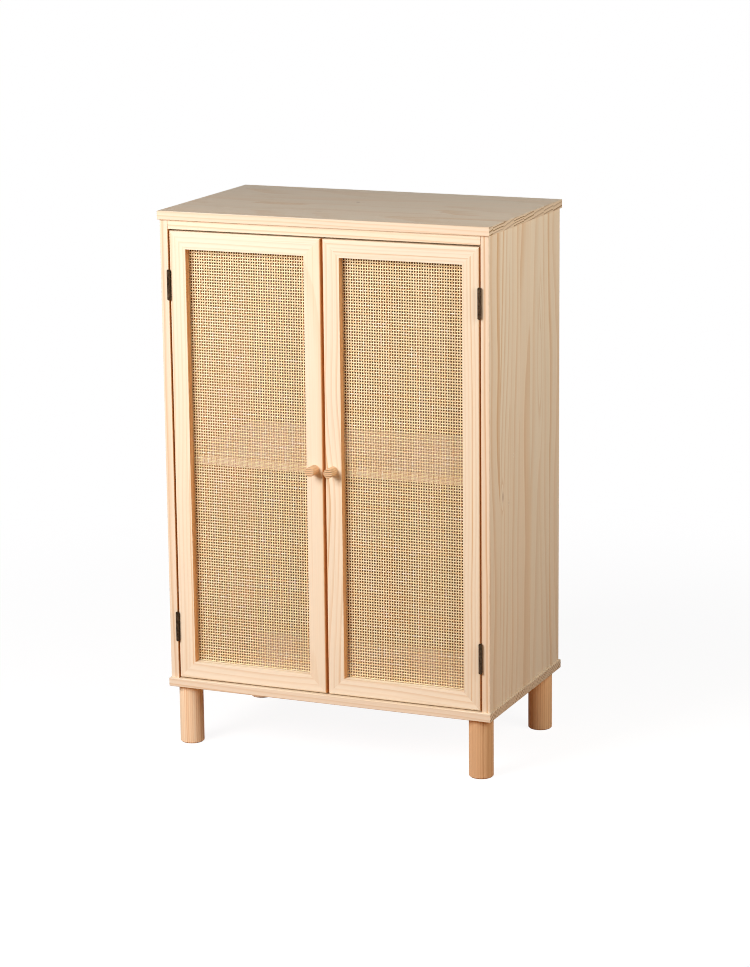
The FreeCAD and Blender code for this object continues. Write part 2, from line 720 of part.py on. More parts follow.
def make_beads(label, hand):
    """The four strips that hold the webbing: two full-height ones, and two between them."""
    wide, thick = "(rebate_width - webbing_play)", "(rebate_depth - webbing_thickness - webbing_play)"
    centre = f"{hand} * {DOOR_CENTRE}"
    inner = f"({WEBBING_HALF_WIDTH} - {wide})"
    low, tall = f"{DOOR_MIDDLE} - {WEBBING_HALF_HEIGHT}", f"2 * {WEBBING_HALF_HEIGHT}"
    between, short = f"{centre} - {inner} + webbing_play", f"2 * {inner} - 2 * webbing_play"
    strips = {
        "left": (f"{centre} - {WEBBING_HALF_WIDTH}", low, wide, tall),
        "right": (f"{centre} + {inner}", low, wide, tall),
        "bottom": (between, low, short, wide),
        "top": (between, f"{DOOR_MIDDLE} + {WEBBING_HALF_HEIGHT} - {wide}", short, wide),
    }
    boxes = []
    for name, (x, z, length, height) in strips.items():
        box = doc.addObject("Part::Box", f"{label}_{name}")
        bind(box, "Length", length)
        bind(box, "Width", thick)
        bind(box, "Height", height)
        place(box, (x, from_front(f"{REBATE_BACK} + webbing_thickness + webbing_play / 2"), z))
        boxes.append(box)
    group = doc.addObject("Part::Compound", label)
    group.Links = boxes
    keep(group, label)


def make_knob(label, hand):
    """A plain round dowel knob. Its seat is at z = 0 and it stands out along +Z."""
    body = keep(new_body(label), label)
    sketch = new_sketch(body, "XY_Plane", f"{label}_section")
    circle(sketch, "knob_diameter / 2")
    dowel = pad(body, sketch, "knob_length")
    ease_edges(body, dowel, "knob_ease",
               lambda direction, middle: not runs_along(direction, Z_AXIS) and middle.z > NEAR)
    drill(body, f"{label}_bore", "knob_screw_diameter / 2 + hole_play", "knob_screw_bite + hole_spare",
          ("0", "0", "0"), UP)
    place(body, knob_spot(hand, "0"), TO_FRONT)


def knob_spot(hand, behind):
    """A point on the knob's axis, at a distance behind the front plane."""
    return f"{hand} * ({DOOR_INNER} + member_width / 2)", from_front(behind), DOOR_MIDDLE


def make_strike_plate(label, hand):
    """The steel plate on the back of the meeting stile that the catch holds."""
    body = keep(new_body(label), label)
    sketch = new_sketch(body, "XZ_Plane", f"{label}_outline")
    rectangle(sketch, ("-strike_width / 2", "-strike_height / 2"), ("strike_width / 2", "strike_height / 2"))
    plate = pad(body, sketch, "strike_thickness", reverse=True)
    ease_edges(body, plate, "strike_thickness", lambda direction, middle: runs_along(direction, Y_AXIS))
    drill(body, f"{label}_hole", PILOT_RADIUS, f"strike_thickness + 2 * {OVERCUT}",
          ("0", f"strike_thickness + {OVERCUT}", "0"), TO_FRONT)
    countersink(body, f"{label}_seat", ("0", "strike_thickness", "0"), TO_FRONT)
    place(body, (f"{hand} * magnet_offset", from_front("door_thickness"), MAGNET_LEVEL))


def make_door(side, hand, small_dowel, small_screw, knob_screw):
    make_hinge_stile(f"{side}_door_hinge_stile", hand)
    make_meeting_stile(f"{side}_door_meeting_stile", hand)
    centre = f"{hand} * {DOOR_CENTRE}"
    top_rail = make_member(f"{side}_door_top_rail", DOOR_WIDTH)
    place(top_rail, (centre, FRONT, DOOR_HIGH), TURNED_OVER)
    bottom_rail = make_member(f"{side}_door_bottom_rail", DOOR_WIDTH)
    place(bottom_rail, (centre, FRONT, DOOR_LOW))

    corners = []
    for across in (-1, 1):
        for along in (-1, 1):
            x = f"{centre} + {across} * ({DOOR_WIDTH} - member_width) / 2"
            z = f"{DOOR_MIDDLE} + {along} * ({DOOR_HEIGHT} - member_width) / 2"
            turn = Rotation(Vector(0, 0, 1), Vector(across, 0, -along))
            corners.append(((x, from_front("door_thickness / 2"), z), turn))
    copies(f"{side}_door_mitre_dowels", small_dowel, corners)

    make_webbing(f"{side}_door_webbing", hand)
    make_beads(f"{side}_door_beads", hand)
    make_knob(f"{side}_knob", hand)
    copies(f"{side}_knob_screw", knob_screw, [(knob_spot(hand, "door_thickness"), TO_FRONT)])
    make_strike_plate(f"{side}_strike_plate", hand)
    seat = (f"{hand} * magnet_offset", from_front("door_thickness + strike_thickness"), MAGNET_LEVEL)
    copies(f"{side}_strike_screw", small_screw, [(seat, TO_FRONT)])


# ---------------------------------------------------------------- butt hinges

def make_leaf(label, kept_knuckles):
    """One hinge leaf. The pin's axis is Z, and the plate stands off it on the +X side, towards +Y.

    The plate runs into a rolled barrel, which is cut into knuckles that take turns with the other
    leaf's. The screw holes are countersunk from the side that faces the other leaf.
    """
    body = keep(new_body(label), label)
    offset = "(door_gap_side / 2)"
    barrel = new_sketch(body, "XY_Plane", f"{label}_barrel")
    circle(barrel, "barrel_diameter / 2")
    pad(body, barrel, "hinge_length", side="Symmetric")
    plate = new_sketch(body, "XY_Plane", f"{label}_plate")
    rectangle(plate, (offset, "0"), (f"{offset} + leaf_thickness", "leaf_reach"))
    pad(body, plate, "hinge_length", side="Symmetric")
    bore = new_sketch(body, "XY_Plane", f"{label}_bore")
    circle(bore, "pin_diameter / 2 + pin_play")
    pocket(body, bore, side="Symmetric")

    outside = "barrel_diameter"
    for knuckle in range(KNUCKLES):
        if knuckle in kept_knuckles:
            continue
        low = f"hinge_length * ({knuckle} / {KNUCKLES} - 1 / 2) - knuckle_play / 2"
        high = f"hinge_length * ({knuckle + 1} / {KNUCKLES} - 1 / 2) + knuckle_play / 2"
        cut_box(body, f"{label}_gap_{knuckle}", (f"-{outside}", f"-{outside}", low),
                (outside, "barrel_diameter / 2 + knuckle_relief", high))

    for number, shift in enumerate(("", "-")):
        spot = (offset, "leaf_screw_reach", f"{shift}leaf_screw_spacing / 2")
        drill(body, f"{label}_screw_hole_{number}", PILOT_RADIUS, f"leaf_thickness + {OVERCUT}", spot,
              TO_RIGHT)
        countersink(body, f"{label}_screw_seat_{number}", spot, TO_RIGHT)
    return body


def make_pin(label):
    """A hinge pin with a domed head at each end of the barrel."""
    body = keep(new_body(label), label)
    half = new_sketch(body, "XZ_Plane", f"{label}_half")
    radius, head, crown = "pin_diameter / 2", "pin_head_diameter / 2", "pin_head_crown / 2"
    seat = "(hinge_length / 2 + pin_play)"
    rim, end = f"({seat} + pin_head_height / 2)", f"({seat} + pin_head_height)"
    polygon(half, [("0", f"-{end}"), (crown, f"-{end}"), (head, f"-{rim}"), (head, f"-{seat}"),
                   (radius, f"-{seat}"), (radius, seat), (head, seat), (head, rim), (crown, end),
                   ("0", end)])
    revolve(body, half)
    return body


def make_hinges(small_screw):
    """Two hinges on each side. A hinge on the left is the right one's twin, turned over."""
    screws = {"frame": [], "left": [], "right": []}
    y = from_front(f"-{BARREL_FRONT}")
    screw_y = from_front(f"leaf_screw_reach - {BARREL_FRONT}")
    for side, hand, frame_turn, door_turn, outwards, inwards in (
            ("left", -1, TURNED_OVER, UP, TO_LEFT, TO_RIGHT),
            ("right", 1, UP, TURNED_OVER, TO_RIGHT, TO_LEFT)):
        for level, sign in (("upper", "+"), ("lower", "-")):
            z = f"{DOOR_MIDDLE} {sign} {HINGE_RISE}"
            axis = (f"{hand} * {HINGE_X}", y, z)
            place(make_leaf(f"{side}_{level}_frame_leaf", FRAME_KNUCKLES), axis, frame_turn)
            place(make_leaf(f"{side}_{level}_door_leaf", DOOR_KNUCKLES), axis, door_turn)
            place(make_pin(f"{side}_{level}_hinge_pin"), axis)
            for shift in ("+", "-"):
                screw_z = f"{z} {shift} leaf_screw_spacing / 2"
                screws["frame"].append(((f"{hand} * {SIDE_INNER}", screw_y, screw_z), outwards))
                screws[side].append(((f"{hand} * {DOOR_OUTER}", screw_y, screw_z), inwards))
    copies("frame_leaf_screws", small_screw, screws["frame"])
    copies("left_door_leaf_screws", small_screw, screws["left"])
    copies("right_door_leaf_screws", small_screw, screws["right"])


# ---------------------------------------------------------------- magnetic catch

def catch_screw_xs():
    reach = "(catch_width / 2 + catch_ear_width / 2)"
    return f"-{reach}", reach


def make_catch(small_screw):
    """A double magnetic catch under the shelf's front edge, one magnet for each door."""
    body = keep(new_body("catch_housing"), "catch_housing")
    outline = new_sketch(body, "XZ_Plane", "catch_outline")
    half, ear = "(catch_width / 2)", "(catch_width / 2 + catch_ear_width)"
    polygon(outline, [(f"-{half}", "-catch_height"), (half, "-catch_height"), (half, "-catch_ear_thickness"),
                      (ear, "-catch_ear_thickness"), (ear, "0"), (f"-{ear}", "0"),
                      (f"-{ear}", "-catch_ear_thickness"), (f"-{half}", "-catch_ear_thickness")])
    block = pad(body, outline, "catch_depth", reverse=True)
    ease_edges(body, block, "catch_ease", lambda direction, middle: runs_along(direction, Y_AXIS))
    stack = f"({MAGNET_STACK} / 2 + magnet_play)"
    for name, sign in (("left", "-"), ("right", "")):
        centre = f"({sign}magnet_offset)"
        cut_box(body, f"catch_{name}_cavity",
                (f"{centre} - magnet_width / 2 - magnet_play", f"-{OVERCUT}", f"-catch_height / 2 - {stack}"),
                (f"{centre} + magnet_width / 2 + magnet_play", "magnet_depth + magnet_play",
                 f"-catch_height / 2 + {stack}"))
    for number, x in enumerate(catch_screw_xs()):
        spot = (x, "catch_depth / 2", "-catch_ear_thickness")
        drill(body, f"catch_screw_hole_{number}", PILOT_RADIUS, f"catch_ear_thickness + {OVERCUT}", spot, UP)
        countersink(body, f"catch_screw_seat_{number}", spot, UP)
    place(body, ("0", from_front(CATCH_FRONT), SHELF_UNDER))

    magnets, poles = [], []
    for name, sign in (("left", "-"), ("right", "")):
        x = f"{sign}magnet_offset - magnet_width / 2"
        magnet = doc.addObject("Part::Box", f"{name}_magnet")
        bind(magnet, "Length", "magnet_width")
        bind(magnet, "Width", "magnet_depth")
        bind(magnet, "Height", "magnet_thickness")
        place(magnet, (x, from_front(CATCH_FRONT), f"{MAGNET_LEVEL} - magnet_thickness / 2"))
        magnets.append(magnet)
        for level, z in (("upper", f"{MAGNET_LEVEL} + magnet_thickness / 2"),
                         ("lower", f"{MAGNET_LEVEL} - magnet_thickness / 2 - pole_thickness")):
            pole = doc.addObject("Part::Box", f"{name}_{level}_pole")
            bind(pole, "Length", "magnet_width")
            bind(pole, "Width", "magnet_depth + catch_front_gap")
            bind(pole, "Height", "pole_thickness")
            place(pole, (x, from_front(f"{CATCH_FRONT} - catch_front_gap"), z))
            poles.append(pole)
    for label, pieces in (("catch_magnets", magnets), ("catch_pole_plates", poles)):
        group = doc.addObject("Part::Compound", label)
        group.Links = pieces
        keep(group, label)
    copies("catch_screws", small_screw,
           [((x, from_front(f"{CATCH_FRONT} + catch_depth / 2"), f"{SHELF_UNDER} - catch_ear_thickness"), UP)
            for x in catch_screw_xs()])


# ---------------------------------------------------------------- the whole cabinet

def check_and_write():
    """Stop on any failed object or bad shape, then write one STEP file for each sub-part."""
    doc.recompute()
    failed = [item.Name for item in doc.Objects if {"Invalid", "Error"} & set(item.State)]
    if failed:
        raise RuntimeError(f"objects that failed to recompute: {failed}")
    labels = [item.Label for item in nodes]
    if len(set(labels)) != len(labels):
        raise RuntimeError("two sub-parts share a label")
    os.makedirs("parts", exist_ok=True)
    for item in nodes:
        if item.Shape.isNull() or not item.Shape.isValid() or not item.Shape.Solids:
            raise RuntimeError(f"{item.Label} has no valid solid")
        item.Shape.exportStep(f"parts/{item.Label}.step")
        print(f"{item.Label}: {len(item.Shape.Solids)} solid(s), {item.Shape.Volume / 1000:.2f} cm3")


def main():
    make_sheet()
    make_end_panel("top_panel", TOP_FACE, "0", UP)
    make_bottom_panel()
    make_side_panel("left_side_panel", -1)
    make_side_panel("right_side_panel", 1)
    make_top_rail()
    make_back_panel()
    make_shelf()
    small_dowel = make_carcass_fasteners()
    make_legs()
    small_screw = make_small_screw()
    knob_screw = make_knob_screw()
    make_door("left", -1, small_dowel, small_screw, knob_screw)
    make_door("right", 1, small_dowel, small_screw, knob_screw)
    make_hinges(small_screw)
    make_catch(small_screw)
    check_and_write()


main()
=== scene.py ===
"""Dresses the pine cane-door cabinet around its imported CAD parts, and sets a plain studio round it.

The boards, legs, knobs and fittings are the CAD parts with a finish of their own. The cane webbing
and the screws are made here, as surfaces worked out with numpy. Lengths are metres, except in the
patterns, which count in millimetres.
"""
import json
import math

import bpy
import numpy as np
from bpy.props import FloatProperty, FloatVectorProperty, PointerProperty
from mathutils import Matrix, Vector

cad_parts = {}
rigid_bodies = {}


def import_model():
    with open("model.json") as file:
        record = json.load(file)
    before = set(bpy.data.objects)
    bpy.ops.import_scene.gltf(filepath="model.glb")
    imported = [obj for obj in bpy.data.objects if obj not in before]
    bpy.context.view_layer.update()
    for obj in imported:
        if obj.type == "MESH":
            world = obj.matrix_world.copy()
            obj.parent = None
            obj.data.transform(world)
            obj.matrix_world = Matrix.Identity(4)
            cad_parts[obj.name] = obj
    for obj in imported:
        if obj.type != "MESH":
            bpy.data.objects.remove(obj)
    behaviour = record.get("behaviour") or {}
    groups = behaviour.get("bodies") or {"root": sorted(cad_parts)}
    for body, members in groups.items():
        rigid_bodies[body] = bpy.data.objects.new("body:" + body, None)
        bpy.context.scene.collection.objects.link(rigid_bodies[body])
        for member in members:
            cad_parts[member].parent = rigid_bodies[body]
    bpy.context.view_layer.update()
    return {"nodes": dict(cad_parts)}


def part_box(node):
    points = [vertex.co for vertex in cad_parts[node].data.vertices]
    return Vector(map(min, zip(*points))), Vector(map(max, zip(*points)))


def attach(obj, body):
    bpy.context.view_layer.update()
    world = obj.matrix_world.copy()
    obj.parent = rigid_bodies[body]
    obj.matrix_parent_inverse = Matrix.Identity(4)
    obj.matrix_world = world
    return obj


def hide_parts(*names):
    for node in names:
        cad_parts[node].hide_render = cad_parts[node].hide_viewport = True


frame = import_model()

bl_info = {
    "name": "Cane-door cabinet",
    "version": (1, 0, 0),
    "blender": (4, 5, 0),
    "location": "3D View > Sidebar > Cabinet",
    "description": "Finishes the boards, weaves the cane, cuts the screws and sets the studio",
    "category": "Object",
}

MM = 0.001


# Sizes and colours that a user may change


def colour(name, description, value):
    """A colour property with its default."""
    return FloatVectorProperty(
        name=name, description=description, default=value, subtype="COLOR", size=3, min=0, max=1
    )


def length(name, description, value):
    """A length property in metres with its default."""
    return FloatProperty(name=name, description=description, default=value, min=0, unit="LENGTH")


def power(name, description, value):
    """A lamp's power in watts with its default."""
    return FloatProperty(name=name, description=description, default=value, min=0, unit="POWER")


def angle(name, description, value):
    """An angle in radians with its default."""
    return FloatProperty(name=name, description=description, default=value, subtype="ANGLE")


def spot(name, description, value):
    """A place in the room with its default."""
    return FloatVectorProperty(
        name=name, description=description, default=value, subtype="TRANSLATION", unit="LENGTH",
        size=3,
    )


class PineLooks(bpy.types.PropertyGroup):
    early: colour("Early wood", "Pale wood between the growth rings", (0.90, 0.775, 0.615))
    rosy: colour("Rosy wood", "Early wood of the pinker staves", (0.87, 0.70, 0.53))
    late: colour("Late wood", "Darker line of each growth ring", (0.66, 0.38, 0.16))
    frame_early: colour("Frame wood", "Pale wood of the doors", (0.925, 0.825, 0.665))
    frame_rosy: colour("Rosy frame wood", "Pinker wood of the doors", (0.90, 0.76, 0.575))
    # The members' upright edges, the reveals round the cane and the gaps, take this as painted shade
    upright_edge_shade: colour("Sawn edge tint", "Multiplies the doors' upright edges", (0.88, 0.58, 0.35))
    # The sides' inner faces take this as painted shade, so that what shows through the cane is dark
    inner: colour("Inner face tint", "Multiplies the sides' inner faces", (0.62, 0.38, 0.20))
    leg_early: colour("Leg wood", "Pale wood of the legs", (0.92, 0.755, 0.55))
    leg_rosy: colour("Rosy leg wood", "Early wood of the redder legs", (0.86, 0.53, 0.28))
    leg_late: colour("Leg rings", "Growth rings of the legs", (0.52, 0.23, 0.08))
    knob_early: colour("Knob wood", "Pale wood of the knobs", (0.86, 0.59, 0.36))
    knob_late: colour("Knob rings", "Growth rings of the knobs", (0.52, 0.28, 0.12))
    hardboard: colour("Hardboard", "Pressed fibre of the back", (0.14, 0.044, 0.012))
    knot: colour("Knot", "Heart of a knot", (0.22, 0.10, 0.045))
    stave: length("Stave width", "Width of the strips that a board is glued up from", 0.048)


class CaneLooks(bpy.types.PropertyGroup):
    warp_pitch: length("Warp pitch", "Distance between upright strands", 0.00453)
    weft_pitch: length("Weft pitch", "Distance between level strands", 0.00487)
    cover: FloatProperty(
        name="Cover", description="Strand width as a share of the pitch", default=0.54,
        min=0.2, max=0.7, subtype="FACTOR",
    )
    thickness: length("Strand thickness", "Thickness of one strand", 0.00052)
    cream: colour("Cream", "Most of the cane", (1.0, 0.92, 0.62))
    pale: colour("Pale", "Palest strands", (1.0, 0.97, 0.86))
    gold: colour("Gold", "Yellowest strands", (0.95, 0.78, 0.42))
    mark: colour("Mark", "Brown marks along a strand", (0.52, 0.24, 0.07))
    # Edge is painted shade: each strand darkens towards its sides, as if shaded at the holes
    edge: colour("Edge", "Split edges of a strand", (0.52, 0.18, 0.025))


class FittingLooks(bpy.types.PropertyGroup):
    bronze: colour("Bronze", "Darkened face of the hinges", (0.030, 0.017, 0.009))
    worn: colour("Worn bronze", "Rubbed face of the hinges", (0.10, 0.062, 0.038))
    zinc: colour("Zinc", "Plated cams, bolts and plates", (0.66, 0.66, 0.64))
    plastic: colour("Catch", "Moulded catch housing", (0.78, 0.74, 0.66))
    ferrite: colour("Magnet", "Ferrite magnets", (0.055, 0.055, 0.06))
    shank: length("Screw", "Thickness of a small screw's shank", 0.003)
    knob_shank: length("Knob screw", "Thickness of a knob screw's shank", 0.004)
    pan: length("Pan head", "Height of a knob screw's head", 0.0024)


class Studio(bpy.types.PropertyGroup):
    key: power("Key light", "Soft box, left front", 64)
    key_tint: colour("Key colour", "Colour of the key light", (1.0, 0.96, 0.94))
    key_place: spot("Key place", "Where the key light hangs", (-0.94, -2.08, 1.58))
    fill: power("Fill light", "Soft box, right front", 18)
    fill_tint: colour("Fill colour", "Colour of the fill light", (1.0, 0.95, 0.84))
    fill_place: spot("Fill place", "Where the fill light hangs", (1.64, -0.38, 1.30))
    soft_box: length("Soft box", "Side of a square soft box", 1.2)
    aim: spot("Aim", "What both lights point at", (0.0, 0.0, 0.5))
    sky: FloatProperty(
        name="Room light", description="Light from all round", default=0.03, min=0, max=2
    )
    bounce: colour("Bounce", "Colour of the light off the floor", (0.46, 0.22, 0.075))
    lens: FloatProperty(name="Lens", description="Focal length", default=114.38, unit="CAMERA")
    stand: spot("Camera", "Where the camera stands", (2.05595, -4.75752, 1.66319))
    turn: angle("Turn", "Heading, left of straight ahead", 0.4036)
    dip: angle("Dip", "Downward tilt", 0.2289)
    roll: angle("Roll", "Turn about the line of sight", -0.0111)


# Shader maths


class Wire:
    """A node's output socket. Arithmetic on it adds Math nodes to its tree."""

    def __init__(self, tree, socket):
        self.tree = tree
        self.socket = socket

    def maths(self, operation, *values):
        inputs = dict(enumerate(values))
        return self.tree.add("ShaderNodeMath", {"operation": operation}, inputs)

    def __add__(self, other):
        return self.maths("ADD", self, other)

    def __radd__(self, other):
        return self.maths("ADD", other, self)

    def __sub__(self, other):
        return self.maths("SUBTRACT", self, other)

    def __rsub__(self, other):
        return self.maths("SUBTRACT", other, self)

    def __mul__(self, other):
        return self.maths("MULTIPLY", self, other)

    def __rmul__(self, other):
        return self.maths("MULTIPLY", other, self)

    def __truediv__(self, other):
        return self.maths("DIVIDE", self, other)

    def __abs__(self):
        return self.maths("ABSOLUTE", self)

    def __floor__(self):
        return self.maths("FLOOR", self)

    def larger(self, other):
        return self.maths("MAXIMUM", self, other)

    def root(self):
        return self.maths("SQRT", self)

    def fraction(self):
        return self.maths("FRACT", self)

    def step(self, low, high):
        """Rises smoothly from 0 at low to 1 at high."""
        return self.tree.add(
            "ShaderNodeMapRange",
            {"interpolation_type": "SMOOTHSTEP"},
            {"Value": self, "From Min": low, "From Max": high},
        )


class Tree:
    """The nodes of a new material or world, as they are added."""

    def __init__(self, owner):
        owner.use_nodes = True
        self.node_tree = owner.node_tree

    def add(self, kind, settings=None, inputs=None, out=0):
        """Adds a node: its settings, then the value or link of each socket. Gives one output."""
        node = self.node_tree.nodes.new(kind)
        for name, value in (settings or {}).items():
            setattr(node, name, value)
        for name, value in (inputs or {}).items():
            if isinstance(value, Wire):
                self.node_tree.links.new(value.socket, node.inputs[name])
            else:
                node.inputs[name].default_value = value
        return Wire(self, node.outputs[out]) if node.outputs else None


class Finish(Tree):
    """A material being made: its nodes, ending in one Principled shader."""

    def __init__(self, name, **constants):
        self.material = bpy.data.materials.new(name)
        super().__init__(self.material)
        self.shader = self.node_tree.nodes["Principled BSDF"]
        for socket, value in constants.items():
            self.shader.inputs[socket.replace("_", " ")].default_value = value

    def place(self):
        """Object coordinates as three wires, in millimetres."""
        point = self.add("ShaderNodeTexCoord", out="Object")
        scaled = self.add("ShaderNodeMapping", {}, {"Vector": point, "Scale": (1 / MM,) * 3})
        return self.split(scaled)

    def split(self, vector):
        """The three parts of a vector or colour."""
        first = self.add("ShaderNodeSeparateXYZ", {}, {0: vector})
        node = first.socket.node
        return [Wire(self, socket) for socket in node.outputs]

    def noise(self, x, y, z, detail):
        """Smooth noise about 0, near -0.25 to 0.25, with features about one unit long.

        A coordinate comes in times the number of features to a millimetre. Odd multiples of a
        seed or a number keep the noise of one stave, strand or piece apart from the next.
        """
        point = self.add("ShaderNodeCombineXYZ", {}, {0: x, 1: y, 2: z})
        value = self.add(
            "ShaderNodeTexNoise", {}, {"Vector": point, "Scale": 1.0, "Detail": detail}
        )
        return value - 0.5

    def chance(self, seed):
        """Three random numbers from 0 to 1 for each whole value of seed."""
        hashed = self.add(
            "ShaderNodeTexWhiteNoise", {"noise_dimensions": "1D"}, {"W": seed}, "Color"
        )
        return self.split(hashed)

    def mix(self, factor, first, second):
        """Colour that goes from first to second as the factor goes from 0 to 1.

        On a Mix node set to colours, sockets 6 and 7 are the colours, and output 2 the result.
        """
        first, second = [c if isinstance(c, Wire) else (*c, 1.0) for c in (first, second)]
        return self.add(
            "ShaderNodeMix",
            {"data_type": "RGBA", "clamp_factor": True},
            {0: factor, 6: first, 7: second},
            2,
        )

    def brighten(self, shade, amount):
        """A colour times a number."""
        return self.add(
            "ShaderNodeVectorMath", {"operation": "SCALE"}, {0: shade, "Scale": amount}
        )

    def tint(self, shade, second):
        """A colour times a second one."""
        return self.add(
            "ShaderNodeVectorMath", {"operation": "MULTIPLY"}, {0: shade, 1: tuple(second)}
        )

    def finished(self, shade, roughness, height, relief):
        """Links what changes over the surface, and gives the material.

        relief is how far a height of 1 stands up, in metres.
        """
        bump = self.add(
            "ShaderNodeBump", {}, {"Height": height, "Distance": relief, "Strength": 1.0}
        )
        for name, wire in (("Base Color", shade), ("Roughness", roughness), ("Normal", bump)):
            self.node_tree.links.new(wire.socket, self.shader.inputs[name])
        return self.material


# Finishes

AXES = {"X": 0, "Y": 1, "Z": 2}

# Where the pith lines of pine lie, in millimetres or as a slope
PITH_SPREAD = 110.0  # how far they differ from side to side
PITH_SLANT = 0.03  # how much they slant to one side along the board
PITH_BEND = 9.0  # how much they bend to one side
PITH_DEPTH = 12.0  # how deep below the board's middle they lie at least
PITH_DEEPER = 34.0  # how much deeper some of them lie
PITH_RISE = 0.06  # how much they slant in depth along the board
PITH_TWIST = 14.0  # how much they bend in depth

# The growth rings
RING_WOBBLE = 1.6  # how far a ring strays from round, in millimetres
RING_CLOSEST, RING_WIDER = 0.75, 0.7  # the closest rings and what wider ones add, in spacings
RING_FAINTEST, RING_STRONGER = 0.3, 0.75  # the faintest late wood and what stronger rings add
LATE_START, LATE_FULL, LATE_END = 0.4, 0.92, 0.93  # course of the late wood, in shares of a ring


def staves(finish, width, stave, seed):
    """The stave that a point lies in: its number, the point's place across it, and six chances.

    With no width of stave, the whole piece is one.
    """
    draw = np.random.default_rng(seed)
    if not stave:
        return float(seed), width, [float(share) for share in draw.uniform(0, 1, 6)]
    count = width / stave + float(draw.uniform(0, 1))
    lane = math.floor(count)
    chances = [*finish.chance(lane + seed * 7.0), *finish.chance(lane + seed * 7.0 + 431.0)]
    return lane, (count - lane - 0.5) * stave, chances


def round_knots(run, width, knots):
    """For each knot, how far it pushes the rings out round it, and how dark its heart is.

    Both fall off with the distance from the knot's middle, counted in its own half widths: the
    push ends at 3.6 of them and the heart at 1.1.
    """
    for knot_run, knot_width, size, stretch, dark in knots:
        u = (run - knot_run) / (size * stretch)
        v = (width - knot_width) / size
        reach = (u * u + v * v).root()
        yield (1 - reach.step(0.3, 3.6)) * (size * 2.4), (1 - reach.step(0.35, 1.1)) * dark


def pine(name, along, across, seed, wood, spacing, contrast, tone=1.0, stave=0.0, figure=1.0,
         knots=(), offset=0.0, painted_shade=None):
    """Pine with growth rings round a pith line, so that faces, edges and end grain agree.

    The rings are the distance from a line that runs nearly along the board, divided by the ring
    spacing. Each glued stave has a pith line of its own, offset to one side where the board is
    cut so that its face shows straight lines. Late wood darkens slowly across a ring and ends
    sharply, as it does in the tree. The last argument gives a painted shade: its tint, and how far
    a face takes it, worked out from the three parts of the surface normal.
    """
    early, rosy, late, heart = wood
    finish = Finish(name, Specular_IOR_Level=0.12)  # bare wood has little gloss
    place = finish.place()
    deep = (set(AXES) - {along, across}).pop()
    run, width, depth = [place[AXES[axis]] for axis in (along, across, deep)]
    lane, local, (lean, rise, hue, sway, near, gap) = staves(finish, width, stave, seed)

    # Rings: the distance from the pith line, pushed out round the knots
    warp = finish.noise(run * 0.0022, lane * 4.1, seed * 1.7, 1.0)
    twist = finish.noise(run * 0.0026, lane * 2.3 + 50.0, seed * 2.9, 1.0)
    slant = run * ((sway - 0.5) * PITH_SLANT)
    side = local - offset - (lean - 0.5) * PITH_SPREAD - slant + warp * PITH_BEND
    slope = run * ((rise - 0.5) * PITH_RISE * figure)
    below = depth + PITH_DEPTH + near * PITH_DEEPER + slope + twist * PITH_TWIST * figure
    wobble = finish.noise(run * 0.007, width * 0.09, depth * 0.09, 2.0)
    radius = (side * side + below * below).root() + wobble * RING_WOBBLE
    hearts = []
    for push, dark in round_knots(run, width, knots):
        radius = radius + push
        hearts.append(dark)
    ring = radius / (spacing * (RING_CLOSEST + gap * RING_WIDER))
    phase = ring.fraction()
    weight = finish.chance(math.floor(ring) + lane * 13.0)[0]
    weight = weight * weight * RING_STRONGER + RING_FAINTEST
    latewood = phase.step(LATE_START, LATE_FULL) * (1 - phase.step(LATE_END, 1.0)) * weight

    # Fibres and pores, broad clouds of tone, and long streaks
    fibre = finish.noise(run * 0.015, width * 1.7, depth * 1.7, 3.0)
    cloud = finish.noise(run * 0.003, width * 0.025, lane * 3.0, 2.0)
    streak = finish.noise(run * 0.003, width * 0.35, depth * 0.35 + seed, 2.0)
    # Colour: pinker or paler by stave, darker late wood and streaks, then the tone and the knots
    body = finish.mix(hue * 0.7 + cloud * 1.2 + streak * 0.9, early, rosy)
    shade = finish.mix(latewood * contrast + streak.step(0.06, 0.3) * 0.2, body, late)
    shade = finish.brighten(shade, (fibre * 0.12 + cloud * 0.12 + 1.0) * tone)
    for dark in hearts:
        shade = finish.mix(dark, shade, heart)

    # Painted shade on some faces, and end grain on faces that look along the board
    normal = finish.split(finish.add("ShaderNodeTexCoord", out="Normal"))
    if painted_shade:
        brown, facing = painted_shade
        shade = finish.mix(facing(normal).step(0.4, 0.8), shade, finish.tint(shade, brown))
    end = abs(normal[AXES[along]]).step(0.55, 0.85)
    end_rings = finish.mix(latewood * 1.9, rosy, [0.5 * part for part in late])
    shade = finish.mix(end * 0.9, shade, finish.brighten(end_rings, 0.9 * tone))

    roughness = 0.56 + fibre * 0.2 - latewood * 0.06 + end * 0.12
    height = latewood * 0.35 + fibre * 0.9
    return finish.finished(shade, roughness, height, relief=0.00012)


